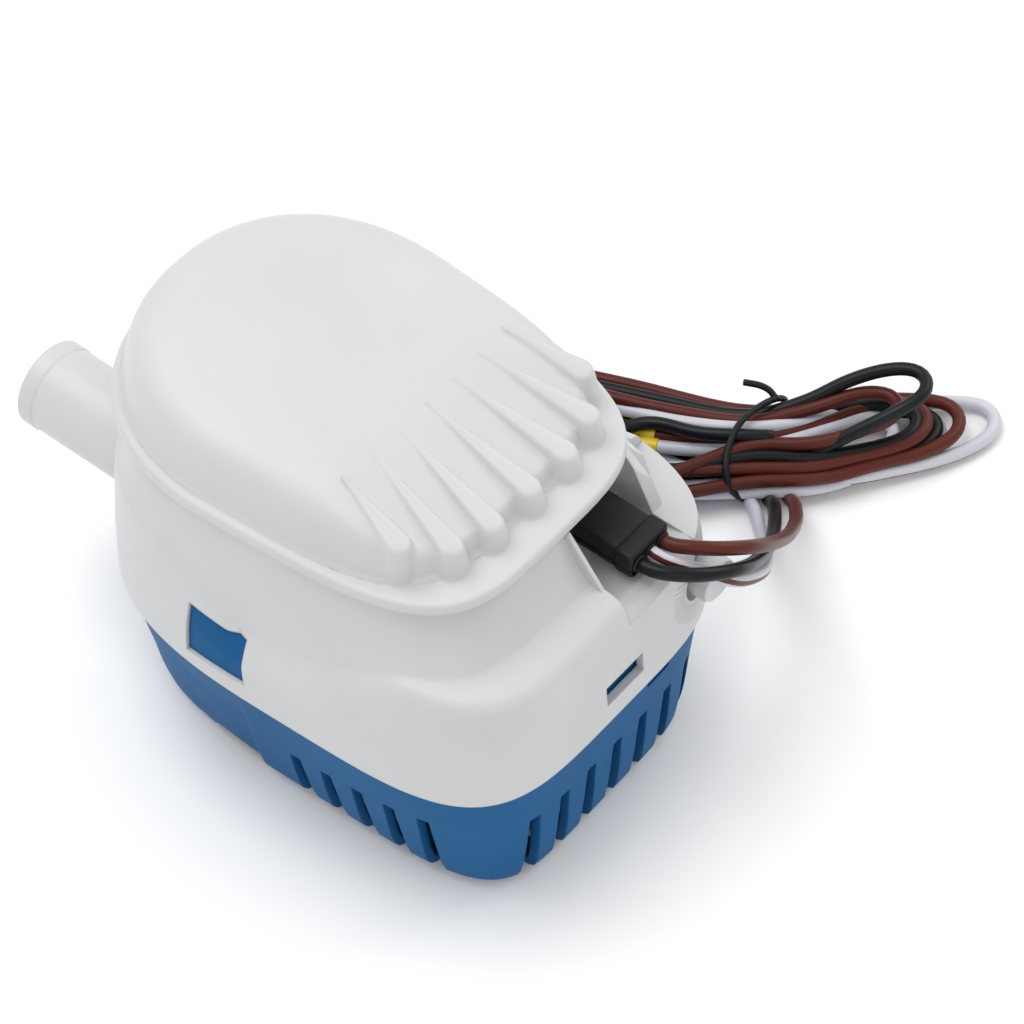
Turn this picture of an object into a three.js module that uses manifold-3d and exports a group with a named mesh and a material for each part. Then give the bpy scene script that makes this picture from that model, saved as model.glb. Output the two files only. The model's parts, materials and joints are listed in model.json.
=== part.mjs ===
// Automatic submersible bilge pump: a white pump housing clipped onto a blue strainer base.
// Millimetres, +Z up, +X from the outlet towards the cable end.
// The origin is on the underside of the base, below the middle of the pump.
import * as THREE from 'three';
import { mergeVertices } from 'three/addons/utils/BufferGeometryUtils.js';
import Module from 'manifold-3d';

const wasm = await Module();
wasm.setup();

// ---------------------------------------------------------------- driving dimensions

const GAP = 0.3;              // between pieces that touch
const WALL = 2.3;             // housing wall
const LEDGE_WALL = 1.8;       // thickness under the ledge round the housing's +X end
const BASE_WALL = 2.4;        // strainer wall
const SIDES = 44;             // points round an outline

// Outlines are ovals with squared corners. left and right are the reaches from x0,
// half is the half width, nLeft and nRight square the corners, and taper narrows the +X end.
const oval = (z, x0, left, right, half, nLeft, nRight, taper) => (
  { z, x0, left, right, half, nLeft, nRight, taper });

const HOUSING_RINGS = [
  oval(40.4, 3, 68.6, 59.4, 51, 2.85, 4.3, 0.062),
  oval(57, 3, 69, 58.2, 50, 2.8, 4.3, 0.064),
  oval(66, 0.5, 67, 59.6, 48.8, 2.68, 4.5, 0.074),
  oval(70.6, -3, 64, 61.4, 47.4, 2.56, 4.9, 0.083),
  oval(71.8, -4, 63, 59.6, 46.6, 2.5, 4.8, 0.085),
  oval(72.7, -5, 62.1, 54.5, 45.7, 2.48, 4.5, 0.088),
  oval(84.6, -19, 48.6, 60.5, 41.8, 2.15, 4.1, 0.104),
];
const BASE_RINGS = [
  oval(0, 2, 58.4, 54.6, 40, 2.6, 5.6, 0.072),
  oval(4, 2, 60.6, 56.6, 42.6, 2.62, 5.3, 0.07),
  oval(18, 2, 62.8, 57.8, 46, 2.75, 4.8, 0.066),
  oval(40.1, 3, 67.6, 58.4, 50, 2.85, 4.3, 0.062),
];
const RIM = oval(86.2, -19, 51.2, 63, 44.2, 2.15, 4.1, 0.104);
const COVER_RINGS = [
  RIM,
  { ...RIM, z: 89.4 },
  oval(89.5, -19, 50.2, 60.4, 42.8, 2.15, 4.1, 0.104),
  oval(89.6, -19, 49.6, 55, 41.9, 2.15, 4.1, 0.104),
  oval(96.5, -19, 48.5, 52.4, 39.6, 2.15, 4.1, 0.104),
  oval(99.6, -19, 47.4, 51, 38.2, 2.15, 4.1, 0.104),
  oval(102.4, -19, 44.6, 47.6, 34.8, 2.15, 3.9, 0.104),
  oval(104, -19, 38.6, 41.6, 28.6, 2.15, 3.5, 0.104),
  oval(104.8, -19, 27, 29, 18.6, 2.1, 3, 0.104),
];
const COVER_TOP = 105;
const COVER_WALL = 2.4;
const FALL = { from: [5, 105], groove: 0.345, ridge: 0.275 };  // the cover's fall towards +X
const RIDGES = {
  half: [0.55, 2.9],                                          // widens from thin start to tip
  foot: 1.5,
  start: { x: 5.8, pitch: 9.1 },
  tips: [[37, 0], [36.9, 13], [34.6, 24], [26.6, 31.8]],      // from the middle one outwards
};

const FLOOR_TOP = 2.6;        // strainer floor
const SPIGOT = { z: [37, 47], outer: [2.8, 3.1], bore: 4.9 };  // blue rim inside the skirt
const HOOK = { x: [56.4, 58.6], y: [-8, 11], z: [38, 53.6] };  // seen through the end slot
const INTAKE = {                                            // open slots round the base
  width: 3.2,
  side: { count: 5, x: 3.6, pitch: 8.9, top: 22.6, rise: 1.1 },
  end: { each: 3, y: 1.4, pitch: 9.4, top: 25 },
};
const STRAINER = { each: 3, pitch: 6, width: 3, y: [-16, 16] };  // floor slots under the impeller
const MOUNT_HOLES = { x: [-50, 30], pad: 6.5, radius: 2.6 };
const DECK = [63, 65.3];      // watertight floor of the motor compartment
const BULKHEAD_X = [29.8, 32];
const MOTOR = { x: -22, y: 0, radius: 17, bottom: 65.6, top: 98 };
const VOLUTE = { outer: 24, inner: 21, bottom: 43, top: 62.7 };
const OUTLET = { y: -16.4, z: 51.8, outer: 10.8, bore: 8, end: -95.5 };
const WINDOW = { x: [-22.3, -5.6], z: [46.3, 61.6] };       // release tab windows, both sides
const TAB = { y: [45.6, 47.5], z: [43, 61.3] };           // pressed face, out from the middle
const END_SLOT = { y: [-5, 8], z: [46.2, 52.2] };
const LATCH = { y: [10.8, 19], z: [35.6, 41] };              // grip notch under the skirt's edge
const RECESS = { y: [4.3, 31], back: 33.5 };                // cable recess at the +X end
const TOWER = { x: [34.6, 44.2], y: 31, top: 67 };
const BOOT = { y: [12.6, 26], z: [68, 75], end: 54, collar: 5 };
const SHAFT = { radius: 1.5, bore: 1.8, z: [43, 101] };
const KNOB = { y: 32.4, z: 55.6, floor: 56.5, end: 64.4, radius: 5.6, pocket: 7.2, bore: 2.2 };
const FLOAT = { x: [9, 43.6], y: [-32, 6], z: [12, 31], stem: [27, -12] };
const LEAD = 3.4;             // lead diameter

// ---------------------------------------------------------------- solids

function solid(geometry) {
  const plain = geometry.clone();
  plain.deleteAttribute('normal');
  plain.deleteAttribute('uv');
  const merged = mergeVertices(plain, 1e-4);
  const corners = merged.index.array;
  const kept = [];
  for (let i = 0; i < corners.length; i += 3) {
    const [a, b, c] = corners.slice(i, i + 3);
    if (a !== b && b !== c && c !== a) kept.push(a, b, c);
  }
  return new wasm.Manifold(new wasm.Mesh({
    numProp: 3,
    vertProperties: new Float32Array(merged.attributes.position.array),
    triVerts: new Uint32Array(kept),
  }));
}

function block([x0, x1], [y0, y1], [z0, z1]) {
  const box = new THREE.BoxGeometry(x1 - x0, y1 - y0, z1 - z0);
  return solid(box.translate((x0 + x1) / 2, (y0 + y1) / 2, (z0 + z1) / 2));
}

// A round bar along an axis; across holds the other two coordinates in X, Y, Z order.
function rod(axis, across, radius, [from, to], sides = 32) {
  const bar = new THREE.CylinderGeometry(radius, radius, to - from, sides);
  bar.translate(0, (from + to) / 2, 0);
  if (axis === 'x') {
    bar.rotateZ(-Math.PI / 2);
    bar.translate(0, across[0], across[1]);
  } else if (axis === 'z') {
    bar.rotateX(Math.PI / 2);
    bar.translate(across[0], across[1], 0);
  } else {
    bar.translate(across[0], 0, across[1]);
  }
  return solid(bar);
}

const tube = (axis, across, outer, inner, [from, to], sides = 32) => (
  rod(axis, across, outer, [from, to], sides)
    .subtract(rod(axis, across, inner, [from - 1, to + 1], sides)));

const joined = (solids) => solids.reduce((all, next) => all.add(next));

function ringPoints(shape, inset = 0, z = shape.z) {
  const points = [];
  for (let i = 0; i < SIDES; i += 1) {
    const angle = (i / SIDES) * 2 * Math.PI;
    const c = Math.cos(angle);
    const s = Math.sin(angle);
    const reach = (c < 0 ? shape.left : shape.right) - inset;
    const power = 2 / (c < 0 ? shape.nLeft : shape.nRight);
    const dx = Math.sign(c) * reach * Math.abs(c) ** power;
    const narrow = 1 - (shape.taper * dx) / 70;
    const dy = Math.sign(s) * (shape.half - inset) * Math.abs(s) ** power * narrow;
    points.push(new THREE.Vector3(shape.x0 + dx, dy, z));
  }
  return points;
}

// A closed body through rings of equal counts, anticlockwise seen from above and listed upwards.
function loft(rings, topPoint = null) {
  const count = rings[0].length;
  const middle = (ring) => ring.reduce((sum, p) => sum.add(p), new THREE.Vector3())
    .divideScalar(count);
  const points = [...rings.flat(), middle(rings[0]), topPoint ?? middle(rings.at(-1))];
  const low = points.length - 2;
  const high = points.length - 1;
  const last = (rings.length - 1) * count;
  const index = [];
  for (let i = 0; i < count; i += 1) {
    const j = (i + 1) % count;
    for (let r = 0; r < rings.length - 1; r += 1) {
      const a = r * count;
      index.push(a + i, a + j, a + count + j, a + i, a + count + j, a + count + i);
    }
    index.push(low, j, i, high, last + i, last + j);
  }
  const geometry = new THREE.BufferGeometry().setFromPoints(points);
  geometry.setIndex(index);
  return solid(geometry);
}

const ovalBody = (shapes, inset = 0) => loft(shapes.map((shape) => ringPoints(shape, inset)));

// The oval at a height between two of the rings that are listed upwards.
function ovalAt(shapes, z) {
  const above = Math.max(1, shapes.findIndex((shape) => shape.z >= z));
  const [low, high] = [shapes[above - 1], shapes[above]];
  const t = (z - low.z) / (high.z - low.z);
  const between = (key) => low[key] + t * (high[key] - low[key]);
  return Object.fromEntries(Object.keys(low).map((key) => [key, between(key)]));
}

// A wedge extruded along Y from an outline of [x, z] corners.
function ribAlongY(outline, [y0, y1]) {
  const shape = new THREE.Shape(outline.map(([x, z]) => new THREE.Vector2(x, z)));
  const body = new THREE.ExtrudeGeometry(shape, { depth: y1 - y0, bevelEnabled: false });
  return solid(body.rotateX(Math.PI / 2).translate(0, y1, 0));
}

// ---------------------------------------------------------------- meshes and materials

const plastic = (color, roughness = 0.4) => (
  new THREE.MeshStandardMaterial({ color, roughness, metalness: 0 }));
const metal = (color, roughness = 0.3) => (
  new THREE.MeshStandardMaterial({ color, roughness, metalness: 1 }));
const WHITE = plastic(0xdedfe0, 0.35);
const BLUE = plastic(0x2f6297, 0.38);
const BLACK = plastic(0x1b1c1e, 0.55);
const BROWN = plastic(0x6a2c22, 0.42);
const LEAD_WHITE = plastic(0xd9dadf, 0.42);
const AMBER = plastic(0xb5773a, 0.5);
const STEEL = metal(0xb8babd, 0.28);
const CAN = metal(0xa3a6a8, 0.35);
const IRON = metal(0x5f6164, 0.5);
const COPPER = metal(0xb4652f, 0.3);
const BRASS = metal(0xb08d48, 0.35);
const FERRITE = plastic(0x3a3a3c, 0.7);
const GREEN = plastic(0x1f5b3a, 0.5);
const GLASS = plastic(0xc8d8d8, 0.1);

const pump = new THREE.Group();

function add(name, shape, material) {
  const { vertProperties, triVerts } = shape.getMesh();
  const geometry = new THREE.BufferGeometry();
  geometry.setAttribute('position', new THREE.BufferAttribute(new Float32Array(vertProperties), 3));
  geometry.setIndex(new THREE.BufferAttribute(new Uint32Array(triVerts), 1));
  geometry.computeVertexNormals();
  const mesh = new THREE.Mesh(geometry, material);
  mesh.name = name;
  pump.add(mesh);
}

// ---------------------------------------------------------------- strainer base

function strainerBase() {
  const inner = [ovalAt(BASE_RINGS, FLOOR_TOP), ...BASE_RINGS.slice(1)];
  inner[inner.length - 1] = { ...BASE_RINGS.at(-1), z: BASE_RINGS.at(-1).z + 0.01 };
  let base = ovalBody(BASE_RINGS).subtract(ovalBody(inner, BASE_WALL));

  const skirt = HOUSING_RINGS[0];
  const [foot, rim] = SPIGOT.z;
  const spigot = loft(SPIGOT.z.map((z, i) => ringPoints(skirt, SPIGOT.outer[i], z)));
  const spigotBore = loft([foot - 1, rim + 1].map((z) => ringPoints(skirt, SPIGOT.bore, z)));
  base = base.add(spigot.subtract(spigotBore));

  // Room for the outlet pipe and for the boss behind the test knob.
  base = base.subtract(block([-80, -50], [OUTLET.y - 12, OUTLET.y + 12], [40.3, 50]));
  base = base.subtract(block([48, 62], [KNOB.y - 11, KNOB.y + 11], [44, 50]));

  // Fixed hook behind the slot in the housing's end face.
  base = base.add(block(HOOK.x, HOOK.y, HOOK.z));

  // Clear the spigot and wall round the two release tabs.
  for (const side of [-1, 1]) {
    const x = [WINDOW.x[0] - 1.2, WINDOW.x[1] + 1.2];
    base = base.subtract(block(x, side < 0 ? [-46.8, -40] : [40, 46.8], [31.6, rim + 1]));
    base = base.subtract(block(x, side < 0 ? [-50, -40] : [40, 50], [40.3, rim + 1]));
    const ledge = side < 0 ? [-46, -40.4] : [40.4, 46];
    base = base.add(block([WINDOW.x[0], WINDOW.x[1]], ledge, [26.6, 29]));
  }

  // Raised arches in the side walls between the -X foot and the slots.
  const arch = [[-27, -1], [-24.5, 5], [-21, 6.2], [-9, 6.2], [-6.8, -1]];
  base = base.subtract(ribAlongY(arch, [-60, -33])).subtract(ribAlongY(arch, [33, 60]));

  // Intake slots, open at the bottom.
  const { width, side: sides, end } = INTAKE;
  for (let i = 0; i < sides.count; i += 1) {
    const x = sides.x + sides.pitch * i;
    const top = sides.top + sides.rise * i;
    base = base.subtract(block([x, x + width], [-60, -34.5], [-1, top]));
    base = base.subtract(block([x, x + width], [34.5, 60], [-1, top]));
  }
  for (let i = -end.each; i <= end.each; i += 1) {
    const y = end.y + end.pitch * i;
    base = base.subtract(block([49.5, 70], [y - width / 2, y + width / 2], [-1, end.top]));
  }
  base = base.subtract(block([58.6, 70], LATCH.y, LATCH.z));

  // Strainer slots in the floor, under the impeller, and two mounting screw holes.
  for (let i = -STRAINER.each; i <= STRAINER.each; i += 1) {
    const x = MOTOR.x + STRAINER.pitch * i;
    const half = STRAINER.width / 2;
    base = base.subtract(block([x - half, x + half], STRAINER.y, [-1, 4]));
  }
  for (const x of MOUNT_HOLES.x) {
    base = base.add(rod('z', [x, 0], MOUNT_HOLES.pad, [1, 5]))
      .subtract(rod('z', [x, 0], MOUNT_HOLES.radius, [-1, 6], 20));
  }
  return base;
}

// A release tab stands on a ledge of the base and shows through the housing's side window.
function releaseTab(side) {
  const y = (near, far) => (side < 0 ? [-far, -near] : [near, far]);
  const x = [WINDOW.x[0] + GAP, WINDOW.x[1] - GAP];
  return joined([
    block(x, y(42, 44), [29.3, 49]),
    block(x, y(42, TAB.y[1]), [TAB.z[0], TAB.z[0] + 2]),
    block(x, y(...TAB.y), TAB.z),
  ]);
}

// ---------------------------------------------------------------- housing and cover

const recessFloor = (drop) => [
  [RECESS.back - drop, 100], [RECESS.back - drop, 66 - drop], [42, 63.4 - drop],
  [57, 63.4 - drop], [62, 62.8 - drop], [80, 60 - drop], [80, 100],
];

// Slanted end of the rear corner, down to the flat top of the tower beside the recess.
const cornerLine = (drop) => [
  [TOWER.x[0] - drop, 100], [TOWER.x[0] - drop, 85 - drop], [TOWER.x[1] - 0.8 - drop, 74 - drop],
  [TOWER.x[1] - drop, TOWER.top - drop], [90, TOWER.top - drop], [90, 100],
];

// Thin raised edge along the near side of the cable recess.
const RECESS_EDGE = [[40, 84.4], [43.3, 84.4], [54.8, 70], [56.5, 66], [50, 66], [40, 72]];

function housingShell() {
  const top = HOUSING_RINGS.at(-1);
  const below = { ...HOUSING_RINGS[0], z: 39 };
  const above = { ...top, z: top.z + 1 };
  const outer = ovalBody(HOUSING_RINGS)
    .subtract(ribAlongY(recessFloor(0), RECESS.y))
    .subtract(ribAlongY(cornerLine(0), [TOWER.y - 0.01, 80]))
    .add(ribAlongY(RECESS_EDGE, [RECESS.y[0] - 1.1, RECESS.y[0]]));
  const lowered = HOUSING_RINGS.map((shape) => (
    { ...shape, z: shape.z > 60 && shape.z < 80 ? shape.z - LEDGE_WALL : shape.z }));
  const cavity = ovalBody([below, ...lowered, above], WALL);
  const dry = cavity.intersect(block([-100, BULKHEAD_X[0]], [-80, 80], [DECK[1], 100]));
  const wet = cavity
    .subtract(block([-100, BULKHEAD_X[1]], [-80, 80], [DECK[0], 100]))
    .subtract(ribAlongY(recessFloor(WALL), [RECESS.y[0] - WALL, RECESS.y[1] + WALL]))
    .subtract(ribAlongY(cornerLine(WALL), [TOWER.y - WALL, 80]));
  let shell = outer.subtract(wet).subtract(dry);

  for (const side of [-1, 1]) {
    const y = side < 0 ? [-60, -45] : [45, 60];
    shell = shell.subtract(block(WINDOW.x, y, WINDOW.z));
  }
  shell = shell.subtract(block([55, 70], END_SLOT.y, END_SLOT.z));

  // Test knob boss, pocket and shaft hole.
  const grown = ([low, high]) => [low - GAP, high + GAP];
  const centre = [KNOB.y, KNOB.z];
  const boss = rod('x', centre, KNOB.pocket + 2, [52.4, 62]).intersect(ovalBody(HOUSING_RINGS));
  shell = shell.add(boss)
    .subtract(rod('x', centre, KNOB.pocket, [KNOB.floor, 80]))
    .subtract(rod('x', centre, KNOB.bore, [40, 80], 20));

  // Openings for the outlet, the cable boot, the motor shaft seal and the switch stem.
  return shell
    .subtract(rod('x', [OUTLET.y, OUTLET.z], OUTLET.outer + GAP, [-90, -40], 32))
    .subtract(block([20, 40], grown(BOOT.y), grown(BOOT.z)))
    .subtract(rod('z', [MOTOR.x, MOTOR.y], 6, [60, 68], 24))
    .subtract(rod('z', FLOAT.stem, 2.4, [60, 68], 16));
}

// Everything above a plane that falls towards +X.
function aboveFall(slope, drop = 0) {
  const [x, z] = FALL.from;
  const reach = 60;
  const outline = [[x - reach, z - drop + slope * reach], [x + reach, z - drop - slope * reach],
    [x + reach, z + reach], [x - reach, z + reach]];
  return ribAlongY(outline, [-70, 70]);
}

function gripRidge(index) {
  const [tipX, tipY] = RIDGES.tips[Math.abs(index)];
  const start = new THREE.Vector2(RIDGES.start.x, index * RIDGES.start.pitch);
  const tip = new THREE.Vector2(tipX, Math.sign(index) * tipY);
  const run = tip.clone().sub(start);
  tip.addScaledVector(run.clone().normalize(), -RIDGES.half[1]);
  const heading = run.angle();
  const ring = (grow, z) => {
    const points = [];
    const turns = 8;
    for (const [centre, half, back] of [[tip, RIDGES.half[1], -0.5], [start, RIDGES.half[0], 0.5]]) {
      for (let i = 0; i <= turns; i += 1) {
        const angle = heading + (back + i / turns) * Math.PI;
        const reach = half + grow;
        points.push(new THREE.Vector3(
          centre.x + reach * Math.cos(angle), centre.y + reach * Math.sin(angle), z));
      }
    }
    return points;
  };
  return loft([ring(RIDGES.foot, RIM.z + 2), ring(0.1, 97), ring(0, COVER_TOP + 1)]);
}

function topCover() {
  const apex = new THREE.Vector3(RIM.x0 + 1, 0, COVER_TOP);
  const skin = loft(COVER_RINGS.map((shape) => ringPoints(shape)), apex);
  const ridges = [-3, -2, -1, 0, 1, 2, 3].map(gripRidge);
  const hollow = COVER_RINGS.slice(1).map((shape) => ({ ...shape, z: shape.z - COVER_WALL }));
  hollow.splice(0, 1, { ...COVER_RINGS[2], z: RIM.z - 1 });
  return skin.subtract(aboveFall(FALL.groove))
    .add(joined(ridges).subtract(aboveFall(FALL.ridge)))
    .subtract(ovalBody(hollow, COVER_WALL).subtract(aboveFall(FALL.groove, COVER_WALL)));
}

function coverSeal() {
  const seat = HOUSING_RINGS.at(-1);
  const z = [seat.z + GAP, RIM.z - GAP];
  const outer = loft(z.map((level) => ringPoints(seat, 0.5, level)));
  const inner = loft([ringPoints(seat, WALL, z[0] - 1), ringPoints(seat, WALL, z[1] + 1)]);
  return outer.subtract(inner);
}

// ---------------------------------------------------------------- pump end

function voluteBody() {
  const centre = [MOTOR.x, MOTOR.y];
  const across = [OUTLET.y, OUTLET.z];
  const pipe = rod('x', across, OUTLET.outer, [OUTLET.end, MOTOR.x], 32)
    .subtract(block([MOTOR.x - VOLUTE.outer - 1, 0], [-40, 40], [20, VOLUTE.bottom]));
  const lip = rod('x', across, OUTLET.outer + 0.25, [OUTLET.end, OUTLET.end + 4.6], 32);
  return rod('z', centre, VOLUTE.outer, [VOLUTE.bottom, VOLUTE.top], 36)
    .add(pipe)
    .add(lip)
    .subtract(rod('z', centre, VOLUTE.inner, [VOLUTE.bottom - 1, VOLUTE.top - 2.4], 36))
    .subtract(rod('x', across, OUTLET.bore, [OUTLET.end - 1, MOTOR.x - 6], 24))
    .subtract(rod('z', centre, 4, [58, 66], 24));
}

const screwPlaces = [80, 200, 320].map((degrees) => {
  const angle = THREE.MathUtils.degToRad(degrees);
  return [MOTOR.x + 22.4 * Math.cos(angle), MOTOR.y + 22.4 * Math.sin(angle)];
});

function wearPlate() {
  const z = [VOLUTE.bottom - 3, VOLUTE.bottom - GAP];
  let plate = tube('z', [MOTOR.x, MOTOR.y], VOLUTE.outer, 9, z, 36);
  for (const [x, y] of screwPlaces) plate = plate.subtract(rod('z', [x, y], 1.9, [30, 50], 12));
  return plate;
}

function impeller() {
  const centre = [MOTOR.x, MOTOR.y];
  const low = VOLUTE.bottom + 2;
  const high = VOLUTE.top - 4.2;
  const hub = rod('z', centre, 5, [low, high - 1], 20);
  let wheel = rod('z', centre, 18.6, [high - 2, high], 36).add(hub);
  for (let i = 0; i < 5; i += 1) {
    const vane = new THREE.BoxGeometry(13.6, 1.6, high - low - 1);
    vane.translate(11, 2.4, (low + high - 1) / 2);
    vane.rotateZ((i / 5) * 2 * Math.PI).translate(MOTOR.x, MOTOR.y, 0);
    wheel = wheel.add(solid(vane));
  }
  return wheel.subtract(rod('z', centre, SHAFT.bore, [30, 70], 16));
}

// ---------------------------------------------------------------- motor

function motorCan() {
  const { x, y, radius, bottom, top } = MOTOR;
  return rod('z', [x, y], radius, [bottom + 3, top], 40)
    .subtract(rod('z', [x, y], radius - 1.2, [bottom, top - 1.6], 40))
    .subtract(rod('z', [x, y], 3.8, [top - 4, top + 1], 24));
}

function motorEndBell() {
  const { x, y, radius, bottom } = MOTOR;
  return rod('z', [x, y], radius, [bottom, bottom + 2.7], 40)
    .subtract(rod('z', [x, y], 3.8, [bottom - 1, bottom + 5], 24));
}

function magnet(side) {
  const { x, y } = MOTOR;
  const half = side < 0 ? block([x - 11, x + 11], [-20, y - 4], [60, 95]) :
    block([x - 11, x + 11], [y + 4, 20], [60, 95]);
  return tube('z', [x, y], 15.5, 12.4, [69.4, 86], 32).intersect(half);
}

function armatureCore() {
  let core = rod('z', [MOTOR.x, MOTOR.y], 11.6, [71, 84], 32);
  for (let i = 0; i < 5; i += 1) {
    const slot = new THREE.BoxGeometry(8, 1.6, 30).translate(11, 0, 78);
    slot.rotateZ(((i + 0.5) / 5) * 2 * Math.PI).translate(MOTOR.x, MOTOR.y, 0);
    core = core.subtract(solid(slot));
  }
  return core.subtract(rod('z', [MOTOR.x, MOTOR.y], SHAFT.bore, [60, 95], 16));
}

function windings() {
  const centre = [MOTOR.x, MOTOR.y];
  const heads = [];
  for (let i = 0; i < 5; i += 1) {
    const head = new THREE.BoxGeometry(7, 8, 3).translate(7, 0, 85.8);
    head.rotateZ((i / 5) * 2 * Math.PI).translate(MOTOR.x, MOTOR.y, 0);
    heads.push(solid(head));
  }
  return joined([...heads, rod('z', centre, 7, [84.3, 87.3], 24)])
    .subtract(rod('z', centre, SHAFT.bore, [60, 100], 16));
}

function brush(side) {
  const y = side < 0 ? [-11.5, -4.9] : [4.9, 11.5];
  return block([MOTOR.x - 2, MOTOR.x + 2], y, [89, 92.4]);
}

function brushHolder() {
  const centre = [MOTOR.x, MOTOR.y];
  let plate = tube('z', centre, 15.4, 5.6, [93.4, 95], 28);
  for (const side of [-1, 1]) {
    const y = side < 0 ? [-13.5, -6] : [6, 13.5];
    const sleeve = block([MOTOR.x - 3.6, MOTOR.x + 3.6], y, [87.6, 93.8]);
    const mouth = block([MOTOR.x - 2.3, MOTOR.x + 2.3], [side < 0 ? -12 : 5, side < 0 ? -5 : 12],
      [88.7, 92.7]);
    plate = plate.add(sleeve).subtract(mouth);
  }
  return plate;
}

// ---------------------------------------------------------------- float switch and test knob

function floatBody() {
  const bore = rod('z', FLOAT.stem, 5.4, [0, 60], 20);
  const arm = joined([
    block([40.2, 43.6], [0, 40], [28, 31]),
    block([40.2, 43.6], [36, 40], [28, 56.3]),
    block([40.2, 48.4], [35.8, 37.6], [54.3, 56.3]),
  ]);
  return block(FLOAT.x, FLOAT.y, FLOAT.z).add(arm).subtract(bore);
}

function knob() {
  const across = [KNOB.y, KNOB.z];
  let grip = rod('x', across, KNOB.radius, [KNOB.floor + 1.2, KNOB.end], 36);
  for (let i = 0; i < 12; i += 1) {
    const angle = (i / 12) * 2 * Math.PI;
    const at = [KNOB.y + 6.1 * Math.cos(angle), KNOB.z + 6.1 * Math.sin(angle)];
    grip = grip.subtract(rod('x', at, 0.8, [KNOB.floor, KNOB.end - 1.4], 8));
  }
  return grip.subtract(rod('x', across, KNOB.bore, [50, 61], 20));
}

// The shaft carries a finger that lifts the float's arm; at rest the finger points down to +Y.
function testLever() {
  const finger = new THREE.BoxGeometry(3, 6.2, 2.2).translate(0, 3.1, 0);
  finger.rotateX(-Math.PI / 4).translate(46.5, KNOB.y, KNOB.z);
  return rod('x', [KNOB.y, KNOB.z], 1.9, [44.6, 60.8], 20).add(solid(finger));
}

// ---------------------------------------------------------------- cable boot and leads

function cableBoot() {
  const { y, z, end, collar } = BOOT;
  return block([27, end - collar], [y[0] + 0.4, y[1] - 0.4], [z[0] + 0.3, z[1] - 0.3])
    .add(block([end - collar, end], y, z));
}

const BOOT_EXITS = [15.2, 19.3, 23.4];      // black, white and brown lead
const BOOT_MIDDLE = (BOOT.z[0] + BOOT.z[1]) / 2;

// Each lead leaves the boot, falls to the ground behind the pump and reaches the hank.
const ROUTES = {
  lead_black: [
    [54.3, 15.2, 71.5], [57, 15.2, 71.6], [61, 16.6, 71.8], [65, 19.6, 71.4], [68.2, 24.6, 69.6],
    [70, 31.9, 65.6], [67.1, 41.9, 56], [61.1, 55.6, 42.6], [52.4, 70.7, 26], [44.3, 83.1, 13.8],
    [38, 91.6, 6],
  ],
  lead_white: [
    [54.3, 19.3, 71.5], [57, 19.4, 71.2], [60.2, 21.4, 69.6], [63.8, 25.2, 66.6], [66.6, 29.7, 61.8],
    [67.4, 35.8, 55.4], [65.5, 46.1, 46], [58.7, 58.8, 32], [50, 71.2, 18.6], [41.8, 80.7, 9.5],
    [34.9, 88.5, 3.8],
  ],
  lead_brown: [
    [54.3, 23.4, 71.5], [57, 23.6, 71.8], [60.4, 25.2, 72.2], [64, 28, 71.8], [66.8, 32, 70.2],
    [68.6, 37.2, 67], [67.8, 45.2, 59.4], [64.3, 56.5, 47.4], [58.3, 69.1, 33.1], [51, 82.1, 19],
    [44.3, 91.8, 9], [41.2, 95.4, 5.4],
  ],
};

function leadTube(points) {
  const corners = points.map((p) => new THREE.Vector3(...p));
  const path = new THREE.CatmullRomCurve3(corners, false, 'centripetal');
  const section = new THREE.Shape();
  for (let i = 0; i < 8; i += 1) {
    const angle = (i / 8) * 2 * Math.PI;
    const corner = [Math.cos(angle) * LEAD / 2, Math.sin(angle) * LEAD / 2];
    if (i === 0) section.moveTo(...corner);
    else section.lineTo(...corner);
  }
  section.closePath();
  const steps = Math.round(path.getLength() / (2.4 * LEAD));
  const options = { steps, extrudePath: path, bevelEnabled: false };
  return solid(new THREE.ExtrudeGeometry(section, options));
}

// The hank lies on the ground along a bent line through the tie.
const HANK = {
  tie: [22, 101], along: [0.72, 0.694], bend: 0.006, from: -72, to: 67, z: [0.3, 13.4],
};

function hankPoint(s, side) {
  const [ax, ay] = HANK.along;
  const lateral = side + (s < 0 ? HANK.bend * s * s : 0);
  return [HANK.tie[0] + ax * s - ay * lateral, HANK.tie[1] + ay * s + ax * lateral];
}

// Half width of the bundle: narrow at the tie, wider loops at both ends.
function hankHalf(s) {
  const spread = 1 - Math.exp(-((s / 26) ** 2));
  const end = s < 0 ? (s - HANK.from) / 20 : (HANK.to - s) / 34;
  const round = Math.sqrt(Math.max(0, 1 - (1 - Math.min(1, end)) ** 2));
  return (15.4 + 4 * spread) * Math.max(round, 0.12);
}

function hankSlice(from, to, [z0, z1], shrink = 0) {
  const near = [];
  const far = [];
  const steps = Math.max(1, Math.round((to - from) / 7));
  for (let i = 0; i <= steps; i += 1) {
    const s = from + ((to - from) * i) / steps;
    near.push(hankPoint(s, -hankHalf(s) + shrink));
    far.unshift(hankPoint(s, hankHalf(s) - shrink));
  }
  const outline = [...near, ...far].map(([x, y]) => new THREE.Vector2(x, y));
  const shape = new THREE.Shape(outline);
  const body = new THREE.ExtrudeGeometry(shape, { depth: z1 - z0, bevelEnabled: false });
  return solid(body.translate(0, 0, z0));
}

function leadHank() {
  const groove = hankSlice(-2, 2, [-1, 20], -4)
    .subtract(hankSlice(-3, 3, [2.3, HANK.z[1] - 1.7], 1.7));
  return hankSlice(HANK.from, HANK.to, HANK.z).subtract(groove);
}

function leadTie() {
  return hankSlice(-1.6, 1.6, [0.3, HANK.z[1] + 0.4], -0.3)
    .subtract(hankSlice(-3, 3, [1.9, HANK.z[1] - 1.3], 1.3));
}

// ---------------------------------------------------------------- assembly

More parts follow.
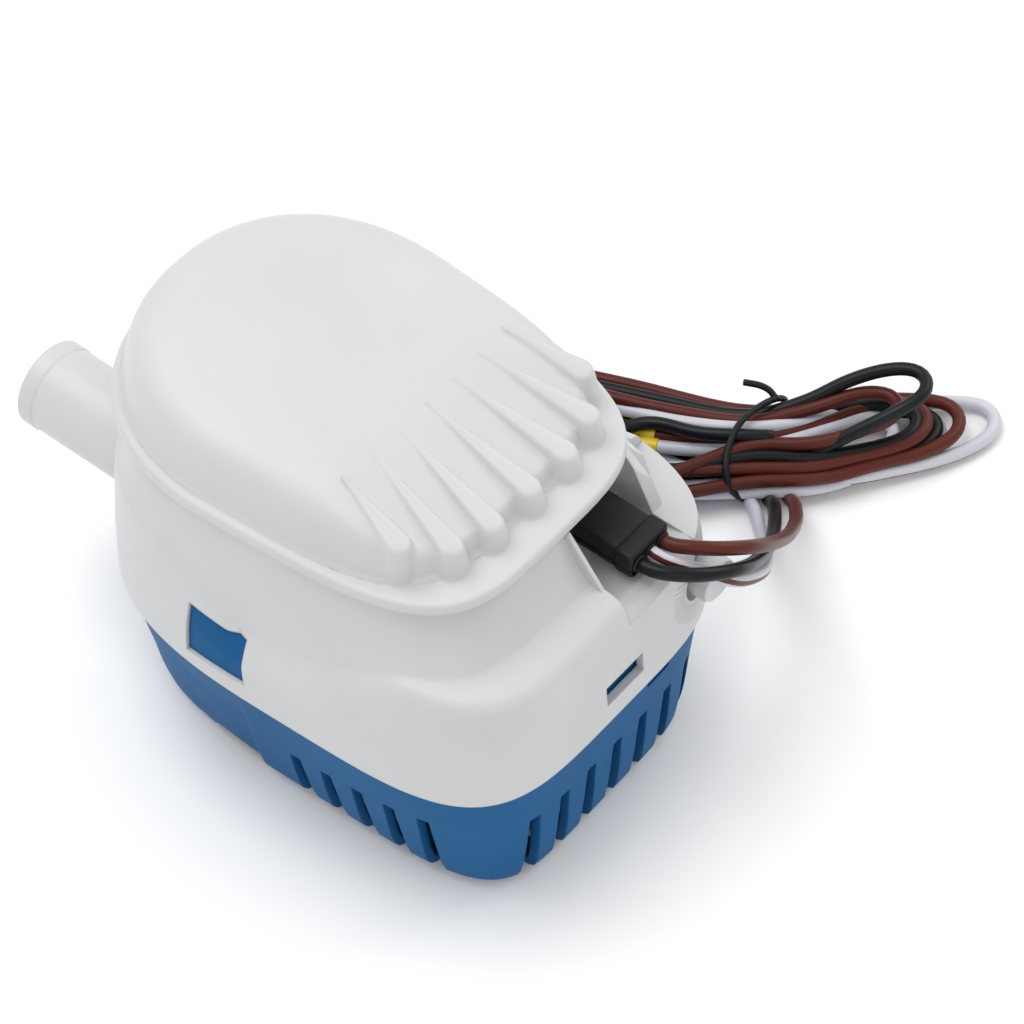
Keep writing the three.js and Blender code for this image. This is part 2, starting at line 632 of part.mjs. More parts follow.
add('strainer_base', strainerBase(), BLUE);
add('release_tab_right', releaseTab(-1), BLUE);
add('release_tab_left', releaseTab(1), BLUE);
add('housing_shell', housingShell(), WHITE);
add('top_cover', topCover(), WHITE);
add('cover_seal', coverSeal(), BLACK);
add('volute_body', voluteBody(), WHITE);
add('wear_plate', wearPlate(), BLACK);
screwPlaces.forEach(([x, y], i) => {
  const shank = rod('z', [x, y], 1.6, [VOLUTE.bottom - 4, VOLUTE.bottom - GAP], 12);
  const head = rod('z', [x, y], 2.8, [VOLUTE.bottom - 5, VOLUTE.bottom - 3.3], 16);
  add(`volute_screw_${i + 1}`, shank.add(head), STEEL);
});
add('impeller', impeller(), BLACK);
add('impeller_clip', tube('z', [MOTOR.x, MOTOR.y], 3.2, SHAFT.bore, [43.5, 44.7], 16), STEEL);

const motorCentre = [MOTOR.x, MOTOR.y];
add('motor_shaft', rod('z', motorCentre, SHAFT.radius, SHAFT.z, 16), STEEL);
add('shaft_seal', tube('z', motorCentre, 5.7, 1.9, [63, 65.3], 20), BLACK);
add('lower_bearing', tube('z', motorCentre, 3.5, 1.56, [65.9, 68], 20), BRASS);
add('upper_bearing', tube('z', motorCentre, 3.5, 1.56, [96.6, 99.2], 20), BRASS);
add('motor_end_bell', motorEndBell(), CAN);
add('motor_can', motorCan(), CAN);
add('magnet_right', magnet(-1), FERRITE);
add('magnet_left', magnet(1), FERRITE);
add('armature_core', armatureCore(), IRON);
add('armature_windings', windings(), COPPER);
add('commutator', tube('z', motorCentre, 4.6, SHAFT.bore, [88.4, 93], 20), COPPER);
add('brush_holder', brushHolder(), AMBER);
add('brush_right', brush(-1), FERRITE);
add('brush_left', brush(1), FERRITE);

const stem = FLOAT.stem;
add('switch_stem', rod('z', stem, 4, [8, DECK[0] - GAP], 20)
  .add(rod('z', stem, 6.6, [DECK[0] - 3, DECK[0] - GAP], 20))
  .subtract(rod('z', stem, 2.2, [11, 70], 12)), WHITE);
add('reed_switch', rod('z', stem, 1.3, [24, 40], 12), GLASS);
add('stem_clip', tube('z', stem, 6.4, 4.05, [10.2, 11.7], 20), STEEL);
add('switch_board', block([10, 28.6], [-26, -2], [65.6, 67.2])
  .subtract(rod('z', stem, 1.6, [50, 70], 12)), GREEN);
add('float_body', floatBody(), BLACK);
add('float_magnet', tube('z', stem, 5.1, 4.35, [22, 26], 20), FERRITE);
add('test_knob', knob(), WHITE);
add('test_lever', testLever(), WHITE);
const sealX = [KNOB.floor + 0.1, KNOB.floor + 1];
add('knob_oring', tube('x', [KNOB.y, KNOB.z], 3.4, 2.25, sealX, 20), BLACK);

add('cable_boot', cableBoot(), BLACK);
BOOT_EXITS.forEach((y, i) => {
  const names = ['inner_wire_black', 'inner_wire_white', 'inner_wire_brown'];
  const colours = [BLACK, LEAD_WHITE, BROWN];
  const route = [[26.7, y, BOOT_MIDDLE], [20, y, BOOT_MIDDLE], [10, y - 1, 74], [-1, y - 4, 78]];
  add(names[i], leadTube(route), colours[i]);
});
add('lead_black', leadTube(ROUTES.lead_black), BLACK);
add('lead_white', leadTube(ROUTES.lead_white), LEAD_WHITE);
add('lead_brown', leadTube(ROUTES.lead_brown), BROWN);
add('lead_hank', leadHank(), BROWN);
add('lead_tie', leadTie(), BLACK);

export default pump;
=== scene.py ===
"""The looks of the bilge pump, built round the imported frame. Shapes are in millimetres until a
piece is finished, and every finished piece is in metres in the frame's own place."""
import json
import math

import bpy
import numpy as np
from mathutils import Matrix, Vector


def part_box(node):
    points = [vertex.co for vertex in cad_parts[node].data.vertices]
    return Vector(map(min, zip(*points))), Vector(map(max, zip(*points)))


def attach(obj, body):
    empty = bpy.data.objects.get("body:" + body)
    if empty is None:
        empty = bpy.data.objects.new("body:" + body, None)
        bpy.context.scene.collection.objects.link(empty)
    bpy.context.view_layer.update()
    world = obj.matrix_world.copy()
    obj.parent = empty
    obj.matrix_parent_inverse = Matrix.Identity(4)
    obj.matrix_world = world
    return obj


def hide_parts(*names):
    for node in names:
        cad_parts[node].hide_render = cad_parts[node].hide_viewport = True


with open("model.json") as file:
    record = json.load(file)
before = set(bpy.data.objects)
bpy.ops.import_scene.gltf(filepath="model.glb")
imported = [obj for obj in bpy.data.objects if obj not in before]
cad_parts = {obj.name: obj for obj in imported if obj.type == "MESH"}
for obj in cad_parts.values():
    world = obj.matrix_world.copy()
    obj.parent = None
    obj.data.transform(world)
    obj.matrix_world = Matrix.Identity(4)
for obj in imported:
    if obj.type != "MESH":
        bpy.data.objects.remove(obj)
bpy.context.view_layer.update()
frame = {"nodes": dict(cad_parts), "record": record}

MM = 0.001
GAP = 0.3  # clearance left round a piece that stands in a hole


def box_mm(node):
    """A CAD node's lowest and highest corners in millimetres."""
    low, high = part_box(node)
    return np.array(low) / MM, np.array(high) / MM


# ---- camera

CAMERA_AT = (0.38964, -0.44462, 0.79954)
CAMERA_TARGET = (0.01258, 0.02221, 0.05)
CAMERA_LENS = 147.66


def aimed(name, data, place, target):
    """A camera or a light at one place, looking at another."""
    obj = bpy.data.objects.new(name, data)
    obj.location = place
    obj.rotation_mode = "QUATERNION"
    aim = Vector(target) - Vector(place)
    obj.rotation_quaternion = aim.to_track_quat("-Z", "Y")
    bpy.context.collection.objects.link(obj)
    return obj


camera = aimed("camera", bpy.data.cameras.new("camera"), CAMERA_AT, CAMERA_TARGET)
camera.data.lens = CAMERA_LENS
camera.data.clip_start = 0.05
camera.data.clip_end = 20
bpy.context.scene.camera = camera


# ---- materials

def nodes_of(name):
    material = bpy.data.materials.new(name)
    material.use_nodes = True
    tree = material.node_tree
    return material, tree, tree.nodes["Principled BSDF"]


def add_node(tree, kind, **values):
    node = tree.nodes.new(kind)
    for key, value in values.items():
        if key in node.inputs:
            node.inputs[key].default_value = value
        else:
            setattr(node, key, value)
    return node


def mottled(tree, shader, low, high, scale):
    """Colour that wanders slowly between two near tones."""
    place = add_node(tree, "ShaderNodeTexCoord")
    noise = add_node(tree, "ShaderNodeTexNoise", Scale=scale, Detail=3.0)
    ramp = add_node(tree, "ShaderNodeValToRGB")
    for stop, position, tone in zip(ramp.color_ramp.elements, (0.35, 0.65), (low, high)):
        stop.position = position
        stop.color = (*tone, 1)
    tree.links.new(place.outputs["Object"], noise.inputs["Vector"])
    tree.links.new(noise.outputs["Fac"], ramp.inputs["Fac"])
    tree.links.new(ramp.outputs["Color"], shader.inputs["Base Color"])
    return place


def roughness_between(tree, shader, noise, rough):
    spread = add_node(tree, "ShaderNodeMapRange")
    spread.inputs["To Min"].default_value, spread.inputs["To Max"].default_value = rough
    tree.links.new(noise.outputs["Fac"], spread.inputs["Value"])
    tree.links.new(spread.outputs["Result"], shader.inputs["Roughness"])


def grained(tree, shader, place, scale, depth, rough, edge=0.0):
    """Fine grain in height and roughness, with softly rounded edges where edge is set."""
    grain = add_node(tree, "ShaderNodeTexNoise", Scale=scale, Detail=4.0)
    tree.links.new(place.outputs["Object"], grain.inputs["Vector"])
    bump = add_node(tree, "ShaderNodeBump", Strength=1.0, Distance=depth)
    tree.links.new(grain.outputs["Fac"], bump.inputs["Height"])
    if edge:
        bevel = add_node(tree, "ShaderNodeBevel", samples=6, Radius=edge)
        tree.links.new(bevel.outputs["Normal"], bump.inputs["Normal"])
    tree.links.new(bump.outputs["Normal"], shader.inputs["Normal"])
    patches = add_node(tree, "ShaderNodeTexNoise", Scale=scale / 12, Detail=2.0)
    tree.links.new(place.outputs["Object"], patches.inputs["Vector"])
    roughness_between(tree, shader, patches, rough)


def moulded(name, low, high, rough, grain=900.0, depth=0.00002, edge=0.0, specular=0.5):
    material, tree, shader = nodes_of(name)
    place = mottled(tree, shader, low, high, 26.0)
    grained(tree, shader, place, grain, depth, rough, edge)
    shader.inputs["Specular IOR Level"].default_value = specular
    return material


def metallic(name, low, high, rough, stretch=(1, 1, 24)):
    """Metal with fine marks drawn out along one direction."""
    material, tree, shader = nodes_of(name)
    place = mottled(tree, shader, low, high, 60.0)
    mapping = add_node(tree, "ShaderNodeMapping")
    mapping.inputs["Scale"].default_value = stretch
    marks = add_node(tree, "ShaderNodeTexNoise", Scale=300.0, Detail=3.0)
    tree.links.new(place.outputs["Object"], mapping.inputs["Vector"])
    tree.links.new(mapping.outputs["Vector"], marks.inputs["Vector"])
    roughness_between(tree, shader, marks, rough)
    bump = add_node(tree, "ShaderNodeBump", Strength=0.6, Distance=0.00001)
    tree.links.new(marks.outputs["Fac"], bump.inputs["Height"])
    tree.links.new(bump.outputs["Normal"], shader.inputs["Normal"])
    shader.inputs["Metallic"].default_value = 1.0
    return material


WHITE = moulded("white_plastic", (0.565, 0.57, 0.577), (0.592, 0.596, 0.602), (0.34, 0.42),
                edge=0.0006, specular=0.4)
BLUE = moulded("blue_plastic", (0.006, 0.088, 0.235), (0.010, 0.104, 0.27), (0.46, 0.56),
               edge=0.0005, specular=0.1)
RUBBER = moulded("boot_rubber", (0.007, 0.007, 0.008), (0.012, 0.012, 0.014), (0.42, 0.62),
                 grain=2600.0, depth=0.00005, edge=0.0005, specular=0.3)
LEAD_BLACK = moulded("lead_black", (0.004, 0.005, 0.006), (0.008, 0.009, 0.010), (0.26, 0.40),
                     grain=1500.0, specular=0.22)
LEAD_BROWN = moulded("lead_brown", (0.072, 0.012, 0.008), (0.102, 0.019, 0.012), (0.28, 0.42),
                     grain=1500.0, specular=0.22)
LEAD_WHITE = moulded("lead_white", (0.50, 0.50, 0.56), (0.57, 0.57, 0.63), (0.28, 0.42),
                     grain=1500.0)
TIE = moulded("tie_plastic", (0.004, 0.005, 0.006), (0.009, 0.010, 0.011), (0.35, 0.5),
              grain=1800.0, specular=0.25)
YELLOW = moulded("yellow_sleeve", (0.66, 0.46, 0.02), (0.78, 0.58, 0.04), (0.3, 0.45))
TINNED = metallic("tinned", (0.55, 0.55, 0.57), (0.70, 0.70, 0.72), (0.3, 0.45))


def clear_glass():
    material, tree, shader = nodes_of("glass")
    place = mottled(tree, shader, (0.78, 0.88, 0.86), (0.86, 0.93, 0.92), 80.0)
    grained(tree, shader, place, 700.0, 0.000008, (0.04, 0.10))
    shader.inputs["Transmission Weight"].default_value = 0.8
    return material


SLOT_MATERIALS = {
    "white_plastic": WHITE, "blue_plastic": BLUE, "black_rubber": RUBBER, "boot_rubber": RUBBER,
    "lead_black": LEAD_BLACK, "lead_white": LEAD_WHITE, "lead_brown": LEAD_BROWN,
    "tie_plastic": TIE, "glass": clear_glass(),
    "black_plastic": moulded("black_plastic", (0.012, 0.012, 0.013), (0.022, 0.022, 0.024),
                             (0.45, 0.6)),
    "amber_plastic": moulded("amber_board", (0.30, 0.13, 0.04), (0.40, 0.18, 0.06), (0.4, 0.55)),
    "board": moulded("circuit_board", (0.02, 0.11, 0.05), (0.03, 0.16, 0.08), (0.3, 0.5)),
    "ferrite": moulded("ferrite", (0.03, 0.03, 0.033), (0.06, 0.06, 0.065), (0.6, 0.8),
                       depth=0.00006),
    "stainless": metallic("stainless", (0.52, 0.53, 0.55), (0.62, 0.63, 0.65), (0.22, 0.38)),
    "motor_steel": metallic("motor_steel", (0.40, 0.41, 0.43), (0.52, 0.53, 0.55), (0.28, 0.42)),
    "iron": metallic("iron", (0.16, 0.16, 0.17), (0.25, 0.25, 0.26), (0.45, 0.65), (1, 1, 90)),
    "copper": metallic("copper", (0.55, 0.22, 0.09), (0.72, 0.33, 0.16), (0.25, 0.4),
                       (40, 40, 1)),
    "bronze": metallic("bronze", (0.45, 0.28, 0.12), (0.58, 0.38, 0.18), (0.35, 0.5)),
}

for part in frame["record"]["subparts"]:
    cad_node = frame["nodes"][part["node"]]
    cad_node.data.materials.clear()
    cad_node.data.materials.append(SLOT_MATERIALS[part["material_slot"]])


# ---- mesh helpers

def raw_object(name, points, faces):
    mesh = bpy.data.meshes.new(name)
    mesh.from_pydata([tuple(p) for p in points], [], faces)
    mesh.validate()
    obj = bpy.data.objects.new(name, mesh)
    bpy.context.collection.objects.link(obj)
    return obj


def finish_piece(obj, material, body, replaced=(), sharp=32):
    """Scales a piece from millimetres to metres and hangs it in the frame."""
    obj.data.transform(Matrix.Scale(MM, 4))
    obj.data.materials.clear()
    for item in material if isinstance(material, (list, tuple)) else [material]:
        obj.data.materials.append(item)
    for face in obj.data.polygons:
        face.use_smooth = True
    obj.data.set_sharp_from_angle(angle=math.radians(sharp))
    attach(obj, body)
    if replaced:
        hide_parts(*replaced)


def applied(obj):
    """Makes an object's modifiers part of its mesh."""
    graph = bpy.context.evaluated_depsgraph_get()
    graph.update()
    mesh = bpy.data.meshes.new_from_object(obj.evaluated_get(graph))
    obj.modifiers.clear()
    obj.data = mesh
    return obj


def combine(target, others, operation):
    """Joins or cuts with closed bodies, and removes them."""
    for other in others:
        modifier = target.modifiers.new("combine", "BOOLEAN")
        modifier.object = other
        modifier.operation = operation
        modifier.solver = "MANIFOLD"
    applied(target)
    for other in others:
        bpy.data.objects.remove(other)
    return target


def cut(target, *others):
    return combine(target, others, "DIFFERENCE")


def join(target, *others):
    return combine(target, others, "UNION")


def rounded(obj, width, segments=3, angle=35):
    """Rounds the sharp edges of a plain body."""
    modifier = obj.modifiers.new("round", "BEVEL")
    modifier.width = width
    modifier.segments = segments
    modifier.limit_method = "ANGLE"
    modifier.angle_limit = math.radians(angle)
    return applied(obj)


def block(x, y, z):
    """A plain box between pairs of X, Y and Z."""
    points = [(a, b, c) for a in x for b in y for c in z]
    faces = [(0, 1, 3, 2), (4, 6, 7, 5), (0, 4, 5, 1), (2, 3, 7, 6), (0, 2, 6, 4), (1, 5, 7, 3)]
    return raw_object("block", points, faces)


def skin_rings(rings, wrap=False):
    """Quads through rings of equal counts, wrapped round or with a fan in each end."""
    count = len(rings[0])
    points = [tuple(p) for ring in rings for p in ring]
    faces = []
    spans = len(rings) if wrap else len(rings) - 1
    for r in range(spans):
        a = r * count
        b = ((r + 1) % len(rings)) * count
        for i in range(count):
            j = (i + 1) % count
            faces.append((a + i, a + j, b + j, b + i))
    if not wrap:
        points += [tuple(np.mean(rings[0], axis=0)), tuple(np.mean(rings[-1], axis=0))]
        low, high = len(points) - 2, len(points) - 1
        last = (len(rings) - 1) * count
        for i in range(count):
            j = (i + 1) % count
            faces += [(low, j, i), (high, last + i, last + j)]
    return points, faces


def loft(name, rings):
    return raw_object(name, *skin_rings(rings))


def circle(axis, across, radius, along, sides):
    """Points of a circle square to the X or the Z axis. across is its middle."""
    ring = []
    for i in range(sides):
        angle = 2 * math.pi * i / sides
        u, v = across[0] + radius * math.cos(angle), across[1] + radius * math.sin(angle)
        ring.append((along, u, v) if axis == "x" else (u, v, along))
    return ring


def turned(name, across, outline, sides):
    """A ring turned about an axis along X, from an outline of (radius, along) corners."""
    rings = [circle("x", across, radius, along, sides) for radius, along in reversed(outline)]
    return raw_object(name, *skin_rings(rings, wrap=True))


def rod(axis, across, radius, span, sides=48):
    return loft("rod", [circle(axis, across, radius, along, sides) for along in span])


def wedge(outline, span):
    """A body extruded along Y from an outline of (x, z) corners."""
    rings = [[(x, y, z) for x, z in outline] for y in reversed(span)]
    return loft("wedge", rings)


# ---- ovals

AROUND = 224
TAPER_LENGTH = 70


def oval(z, x0, left, right, half, n_left, n_right, taper):
    """A level outline: height, middle, reach to -X and +X, half width, squareness of the two
    ends, and how much it narrows."""
    return np.array([z, x0, left, right, half, n_left, n_right, taper], float)


def cover_oval(z, left, right, half, n_left=2.15, n_right=4.1):
    return oval(z, -19, left, right, half, n_left, n_right, 0.104)


def between(shapes, levels):
    """Ovals at other heights, eased through the listed ones without overshoot."""
    table = np.array(shapes)
    z = table[:, 0]
    slope = np.diff(table, axis=0) / np.diff(z)[:, None]
    tangent = np.zeros_like(table)
    tangent[0], tangent[-1] = slope[0], slope[-1]
    for k in range(1, len(z) - 1):
        same = slope[k - 1] * slope[k] > 0
        mean = 2 * slope[k - 1] * slope[k] / np.where(same, slope[k - 1] + slope[k], 1)
        tangent[k] = np.where(same, mean, 0)
    found = []
    for level in levels:
        k = int(np.clip(np.searchsorted(z, level) - 1, 0, len(z) - 2))
        h = z[k + 1] - z[k]
        t = (level - z[k]) / h
        row = ((1 + 2 * t) * (1 - t) ** 2 * table[k] + t * (1 - t) ** 2 * h * tangent[k]
               + t * t * (3 - 2 * t) * table[k + 1] + t * t * (t - 1) * h * tangent[k + 1])
        row[0] = level
        found.append(row)
    return found


def outline_of(shape, inset=0.0, count=AROUND):
    """Evenly spaced points round an oval, starting at +X, anticlockwise."""
    z, x0, left, right, half, n_left, n_right, taper = shape
    angle = np.linspace(0, math.pi, 1441)
    c, s = np.cos(angle), np.sin(angle)
    power = np.where(c < 0, 2 / n_left, 2 / n_right)
    dx = np.sign(c) * (np.where(c < 0, left, right) - inset) * np.abs(c) ** power
    y = (half - inset) * np.abs(s) ** power * (1 - taper * dx / TAPER_LENGTH)
    length = np.concatenate([[0], np.cumsum(np.hypot(np.diff(dx), np.diff(y)))])
    even = np.linspace(0, length[-1], count // 2 + 1)
    xs = x0 + np.interp(even, length, dx)
    ys = np.interp(even, length, y)
    xs = np.concatenate([xs, xs[-2:0:-1]])
    ys = np.concatenate([ys, -ys[-2:0:-1]])
    return np.stack([xs, ys, np.full(len(xs), z)], axis=1)


HOUSING_RINGS = [
    oval(40.4, 3, 68.6, 59.4, 51, 2.85, 4.3, 0.062),
    oval(57, 3, 69, 58.2, 50, 2.8, 4.3, 0.064),
    oval(66, 0.5, 67, 59.6, 48.8, 2.68, 4.5, 0.074),
    oval(69.6, -2.4, 64.6, 61.5, 47.9, 2.58, 4.8, 0.08),
    oval(71.1, -3.5, 63.5, 61.1, 47.3, 2.54, 4.9, 0.084),
    oval(71.8, -4, 63, 59.6, 46.7, 2.5, 4.8, 0.085),
    oval(72.6, -5, 62.1, 54.6, 45.8, 2.48, 4.5, 0.088),
    oval(73.8, -6.2, 61, 54.7, 45.2, 2.45, 4.4, 0.09),
    oval(84.6, -19, 48.6, 60.5, 41.8, 2.15, 4.1, 0.104),
]
BASE_RINGS = [
    oval(0, 2, 57.8, 54.0, 39.2, 3.2, 5.6, 0.072),
    oval(0.5, 2, 58.9, 55.1, 40.3, 3.2, 5.6, 0.072),
    oval(1.6, 2, 59.6, 55.8, 41.1, 3.15, 5.5, 0.071),
    oval(4, 2, 60.6, 56.6, 42.6, 3.05, 5.3, 0.07),
    oval(18, 2, 62.8, 57.8, 46, 2.9, 4.8, 0.066),
    oval(40.1, 3, 67.6, 58.4, 50, 2.85, 4.3, 0.062),
]
COVER_RINGS = [cover_oval(*row) for row in (
    (86.2, 50.9, 62.7, 43.9), (86.7, 51.2, 63, 44.2), (88.7, 51.1, 62.9, 44.1),
    (89.3, 50.7, 62.4, 43.6), (89.5, 50.2, 60.6, 42.9), (89.8, 49.7, 58.6, 42.0),
    (90.6, 49.3, 57.4, 41.1), (93, 49.0, 56.4, 40.2), (96.5, 48.5, 55.2, 39.3),
    (99.6, 47.4, 53.6, 38.0), (101.6, 45.7, 51.2, 36.0, 2.15, 4.0),
    (103.2, 42.6, 47.2, 32.4, 2.15, 3.8), (104.2, 37.4, 41.4, 27.2, 2.12, 3.4),
    (104.7, 30, 33, 20.6, 2.1, 3), (104.93, 18, 19, 11.6, 2.05, 2.5),
)]


def levels_of(low, high, step):
    """Even levels about one step apart."""
    return list(np.linspace(low, high, max(2, int(round((high - low) / step)) + 1)))


# ---- driving dimensions

WALL = 2.3
BASE_WALL = 2.4
DECK = (63, 65.3)  # floor between the wet and the dry room
BULKHEAD_X = (29.8, 32)
MOTOR_X = -22
# Corners (x, z) of the window in each long side, and how far a tab's face stands out of it.
WINDOW = ((-22.3, 44.4), (-4.9, 45.4), (-6.2, 52), (-6.6, 57), (-12, 57.1), (-22.3, 59.4))
TAB_PROUD = 1.5
END_SLOT = ((-5, 8), (46.2, 52.2))
RECESS_Y = (4.3, 31)
RECESS_BACK = 33.5
# The low tower beside the cable recess: its slanted end's x, its near and far y, and its top.
TOWER_X = (33, 40)
TOWER_Y = (34.6, 38.4)
TOWER_TOP = 67
CORNER_X = 31  # where the rear corner is cut down to the tower
SEAL_HOLE = 6  # radius round the motor shaft
STEM_AT, STEM_HOLE = (27, -12), 2.4
BOOT_HOLE = ((12.6, 26), (68, 75))  # y and z in the recess's back wall
pipe_low, _ = box_mm("volute_body")
knob_low, knob_high = box_mm("test_knob")
boot_low, boot_high = box_mm("cable_boot")
KNOB_Y = (knob_low[1] + knob_high[1]) / 2
KNOB_Z = (knob_low[2] + knob_high[2]) / 2
KNOB_BORE = 2.2
KNOB_POCKET, KNOB_FLOOR_X = 7.2, 56.5
KNOB_BOSS, KNOB_BOSS_X = 9.2, (52.4, 62)
OUTLET_Y, OUTLET_Z, OUTLET_R, OUTLET_BORE = -16.4, 51.8, 10.8, 8


# ---- leads

LEAD = 3.4  # diameter
LEAD_SIDES = 16
TIE_AT = (22, 101)
HANK_ALONG = (0.72, 0.694)

ROUTES = {
    "lead_black": [
        (54.3, 15.2, 71.5), (57, 15.2, 71.6), (61, 16.6, 71.8), (65, 19.6, 71.4),
        (68.2, 24.6, 69.6), (70, 31.9, 65.6), (67.1, 41.9, 56), (61.1, 55.6, 42.6),
        (52.4, 70.7, 26), (44.3, 83.1, 13.8), (38, 91.6, 6),
    ],
    "lead_white": [
        (54.3, 19.3, 71.5), (57, 19.4, 71.2), (60.2, 21.4, 69.6), (63.8, 25.2, 66.6),
        (66.6, 29.7, 61.8), (67.4, 35.8, 55.4), (65.5, 46.1, 46), (58.7, 58.8, 32),
        (50, 71.2, 18.6), (41.8, 80.7, 9.5), (34.9, 88.5, 3.8),
    ],
    "lead_brown": [
        (54.3, 23.4, 71.5), (57, 23.6, 71.8), (60.4, 25.2, 72.2), (64, 28, 71.8),
        (66.8, 32, 70.2), (68.6, 37.2, 67), (67.8, 45.2, 59.4), (64.3, 56.5, 47.4),
        (58.3, 69.1, 33.1), (51, 82.1, 19), (44.3, 91.8, 9), (41.2, 95.4, 5.4),
    ],
}
# Turns of the hank, outermost first: the near strand's (sideways, height) at the tie, the right
# loop's (reach, radius, height), the far strand and the left loop.
TURNS = {
    "lead_black": [
        ((-4.4, 5.1), (49, 10, 4.5), (1.8, 5.1), (58, 12, 3.0)),
        ((-1.0, 5.1), (45, 10, 22), (11.5, 8.0), (66, 18, 5.0)),
        ((-3.6, 10.4), (43.5, 10, 8.5), (8.6, 5.1), (54, 12, 8)),
    ],
    "lead_white": [
        ((-7.4, 4.9), (64, 12, 2.0), (5.2, 5.1), (62, 16, 2.0)),
        ((-10, 4.4), (50, 11.5, 2.4), (5.2, 10.6), (50, 12, 5)),
        ((-2.8, 7.7), (38, 10, 5.5)),
    ],
    "lead_brown": [
        ((-9.2, 7.5), (54.5, 12, 5.5), (14.5, 6.4), (72, 23, 2)),
        ((-1.2, 11.4), (38.5, 9, 15), (8.4, 9.4), (60, 13, 8.5)),
        ((-6.3, 9.1), (46, 10.5, 8.0)),
    ],
}
# The last stretch of each lead in the hank, as (along, sideways, height).
ENDS = {
    "lead_black": [(-24, 4.4, 9.0), (-12, 3.2, 11.4), (-2, 1.2, 12.9), (6.5, 0.2, 12.6)],
    "lead_white": [(30, 5.4, 6.5), (16, 3.4, 7.9), (2, 0.6, 7.9), (-14, 1.6, 6.4),
                   (-30, 0.4, 4.6)],
    "lead_brown": [(34, 8.0, 7.4), (18, 5.4, 8.0), (4, 3.6, 8.2), (-14, 4.8, 6.8),
                   (-30, 4.4, 4.8)],
}
STRIPE = (1, 2)  # the coloured ones of the white lead's sides
# Where each lead starts its first turn: along the hank and sideways from it.
START_TURN = {"lead_black": (4.5, 2.5), "lead_white": (0.0, -0.8), "lead_brown": (9.5, 5.8)}


def eased(t):
    """From 0 to 1 with level ends."""
    t = min(1.0, max(0.0, t))
    return t * t * (3 - 2 * t)


def hank_centre(s):
    """The bundle bends away at both ends, and lies a little nearer over the leads below it."""
    bend = 0.006 * s * s if s < 0 else 0.0018 * s * s
    return bend - 2.8 * eased((s + 26) / 16) * eased((30 - s) / 14)


def hank_place(s, lateral, height):
    """A point beside the tie: s runs along the hank, lateral is away from the pump's end."""
    ax, ay = HANK_ALONG
    return (TIE_AT[0] + ax * s - ay * lateral, TIE_AT[1] + ay * s + ax * lateral, height)


def hank_point(s, sideways, height):
    """A point of the hank, sideways from its bent middle line."""
    return hank_place(s, sideways + hank_centre(s), height)


QUARTER_STEPS = 6
SPREAD_OVER = 25  # the strands part over this much of the hank


def quarter(start, end, reach, radius, height, rightward):
    """A quarter turn between a strand at the tie and the middle of a loop. end is the strand on
    the other side, with the sign of the side this one swings out to."""
    points = []
    tie_side, tie_height = start
    for k in range(QUARTER_STEPS):
        angle = (k / QUARTER_STEPS) * math.pi / 2
        along = math.sin(angle) ** 0.8
        across = math.cos(angle) ** 0.75
        s = reach * along
        spread = 1 - math.exp(-((s / SPREAD_OVER) ** 2))
        mix = 0.5 * along ** 3
        slot = tie_side * (1 - mix) + end[0] * mix
        lateral = slot * (1 - spread) + math.copysign(radius, end[2]) * across * spread
        lift = eased(along)
        z = tie_height * (1 - lift) + height * lift
        points.append((s if rightward else -s, lateral, z))
    return points


def hank_turn(turn, following):
    """One turn, from the near strand at the tie, round the right loop, along the far side and
    round the left loop, up to the next near strand."""
    near, (reach, radius, height), far, left = turn
    out = quarter(near, (far[0], 0, -1), reach, radius, height, True)
    back = quarter(far, (near[0], 0, 1), reach, radius, height, True)
    middle = (reach, (near[0] + far[0]) / 2 * 0.01, height)
    points = out + [middle] + back[:0:-1]
    reach, radius, height = left
    out = quarter(far, (following[0], 0, 1), reach, radius, height, False)
    back = quarter(following, (far[0], 0, -1), reach, radius, height, False)
    return points + out + [(-reach, 0, height)] + back[:0:-1]


def hank_route(name):
    """The lead from the ground near the tie, under the bundle, round its turns to its end."""
    s, lateral = START_TURN[name]
    turns = TURNS[name]
    first, _, _, (reach, radius, _) = turns[0]
    points = [(s, -12, 2.4), (s - 1, -7, 1.8), (s - 5, lateral - 2.4, 1.7),
              (s - 13, lateral, 1.7), (s - 24, lateral + 2, 1.7), (-36, lateral + 6, 1.7),
              (-reach + 8 + 2 * lateral / 3, 9, 1.9), (-reach + 3, 1, 2.4), (-reach + 7, -7, 3)]
    back = quarter(first, (lateral, 0, -1), reach, radius, 3.4, False)
    points += back[3:0:-1]
    for k, turn in enumerate(turns):
        if k + 1 < len(turns):
            points += hank_turn(turn, turns[k + 1][0])
        elif name == "lead_black":
            points += hank_turn(turn, ENDS[name][0][1:])[:-2]
        else:
            near, (reach, radius, height) = turn
            out = quarter(near, (4, 0, -1), reach, radius, height, True)
            back = quarter((4, 7.8), (near[0], 0, 1), reach, radius, height, True)
            points += out + [(reach, 0, height)] + back[:3:-1]
    points += ENDS[name]
    return [hank_point(*p) for p in points]


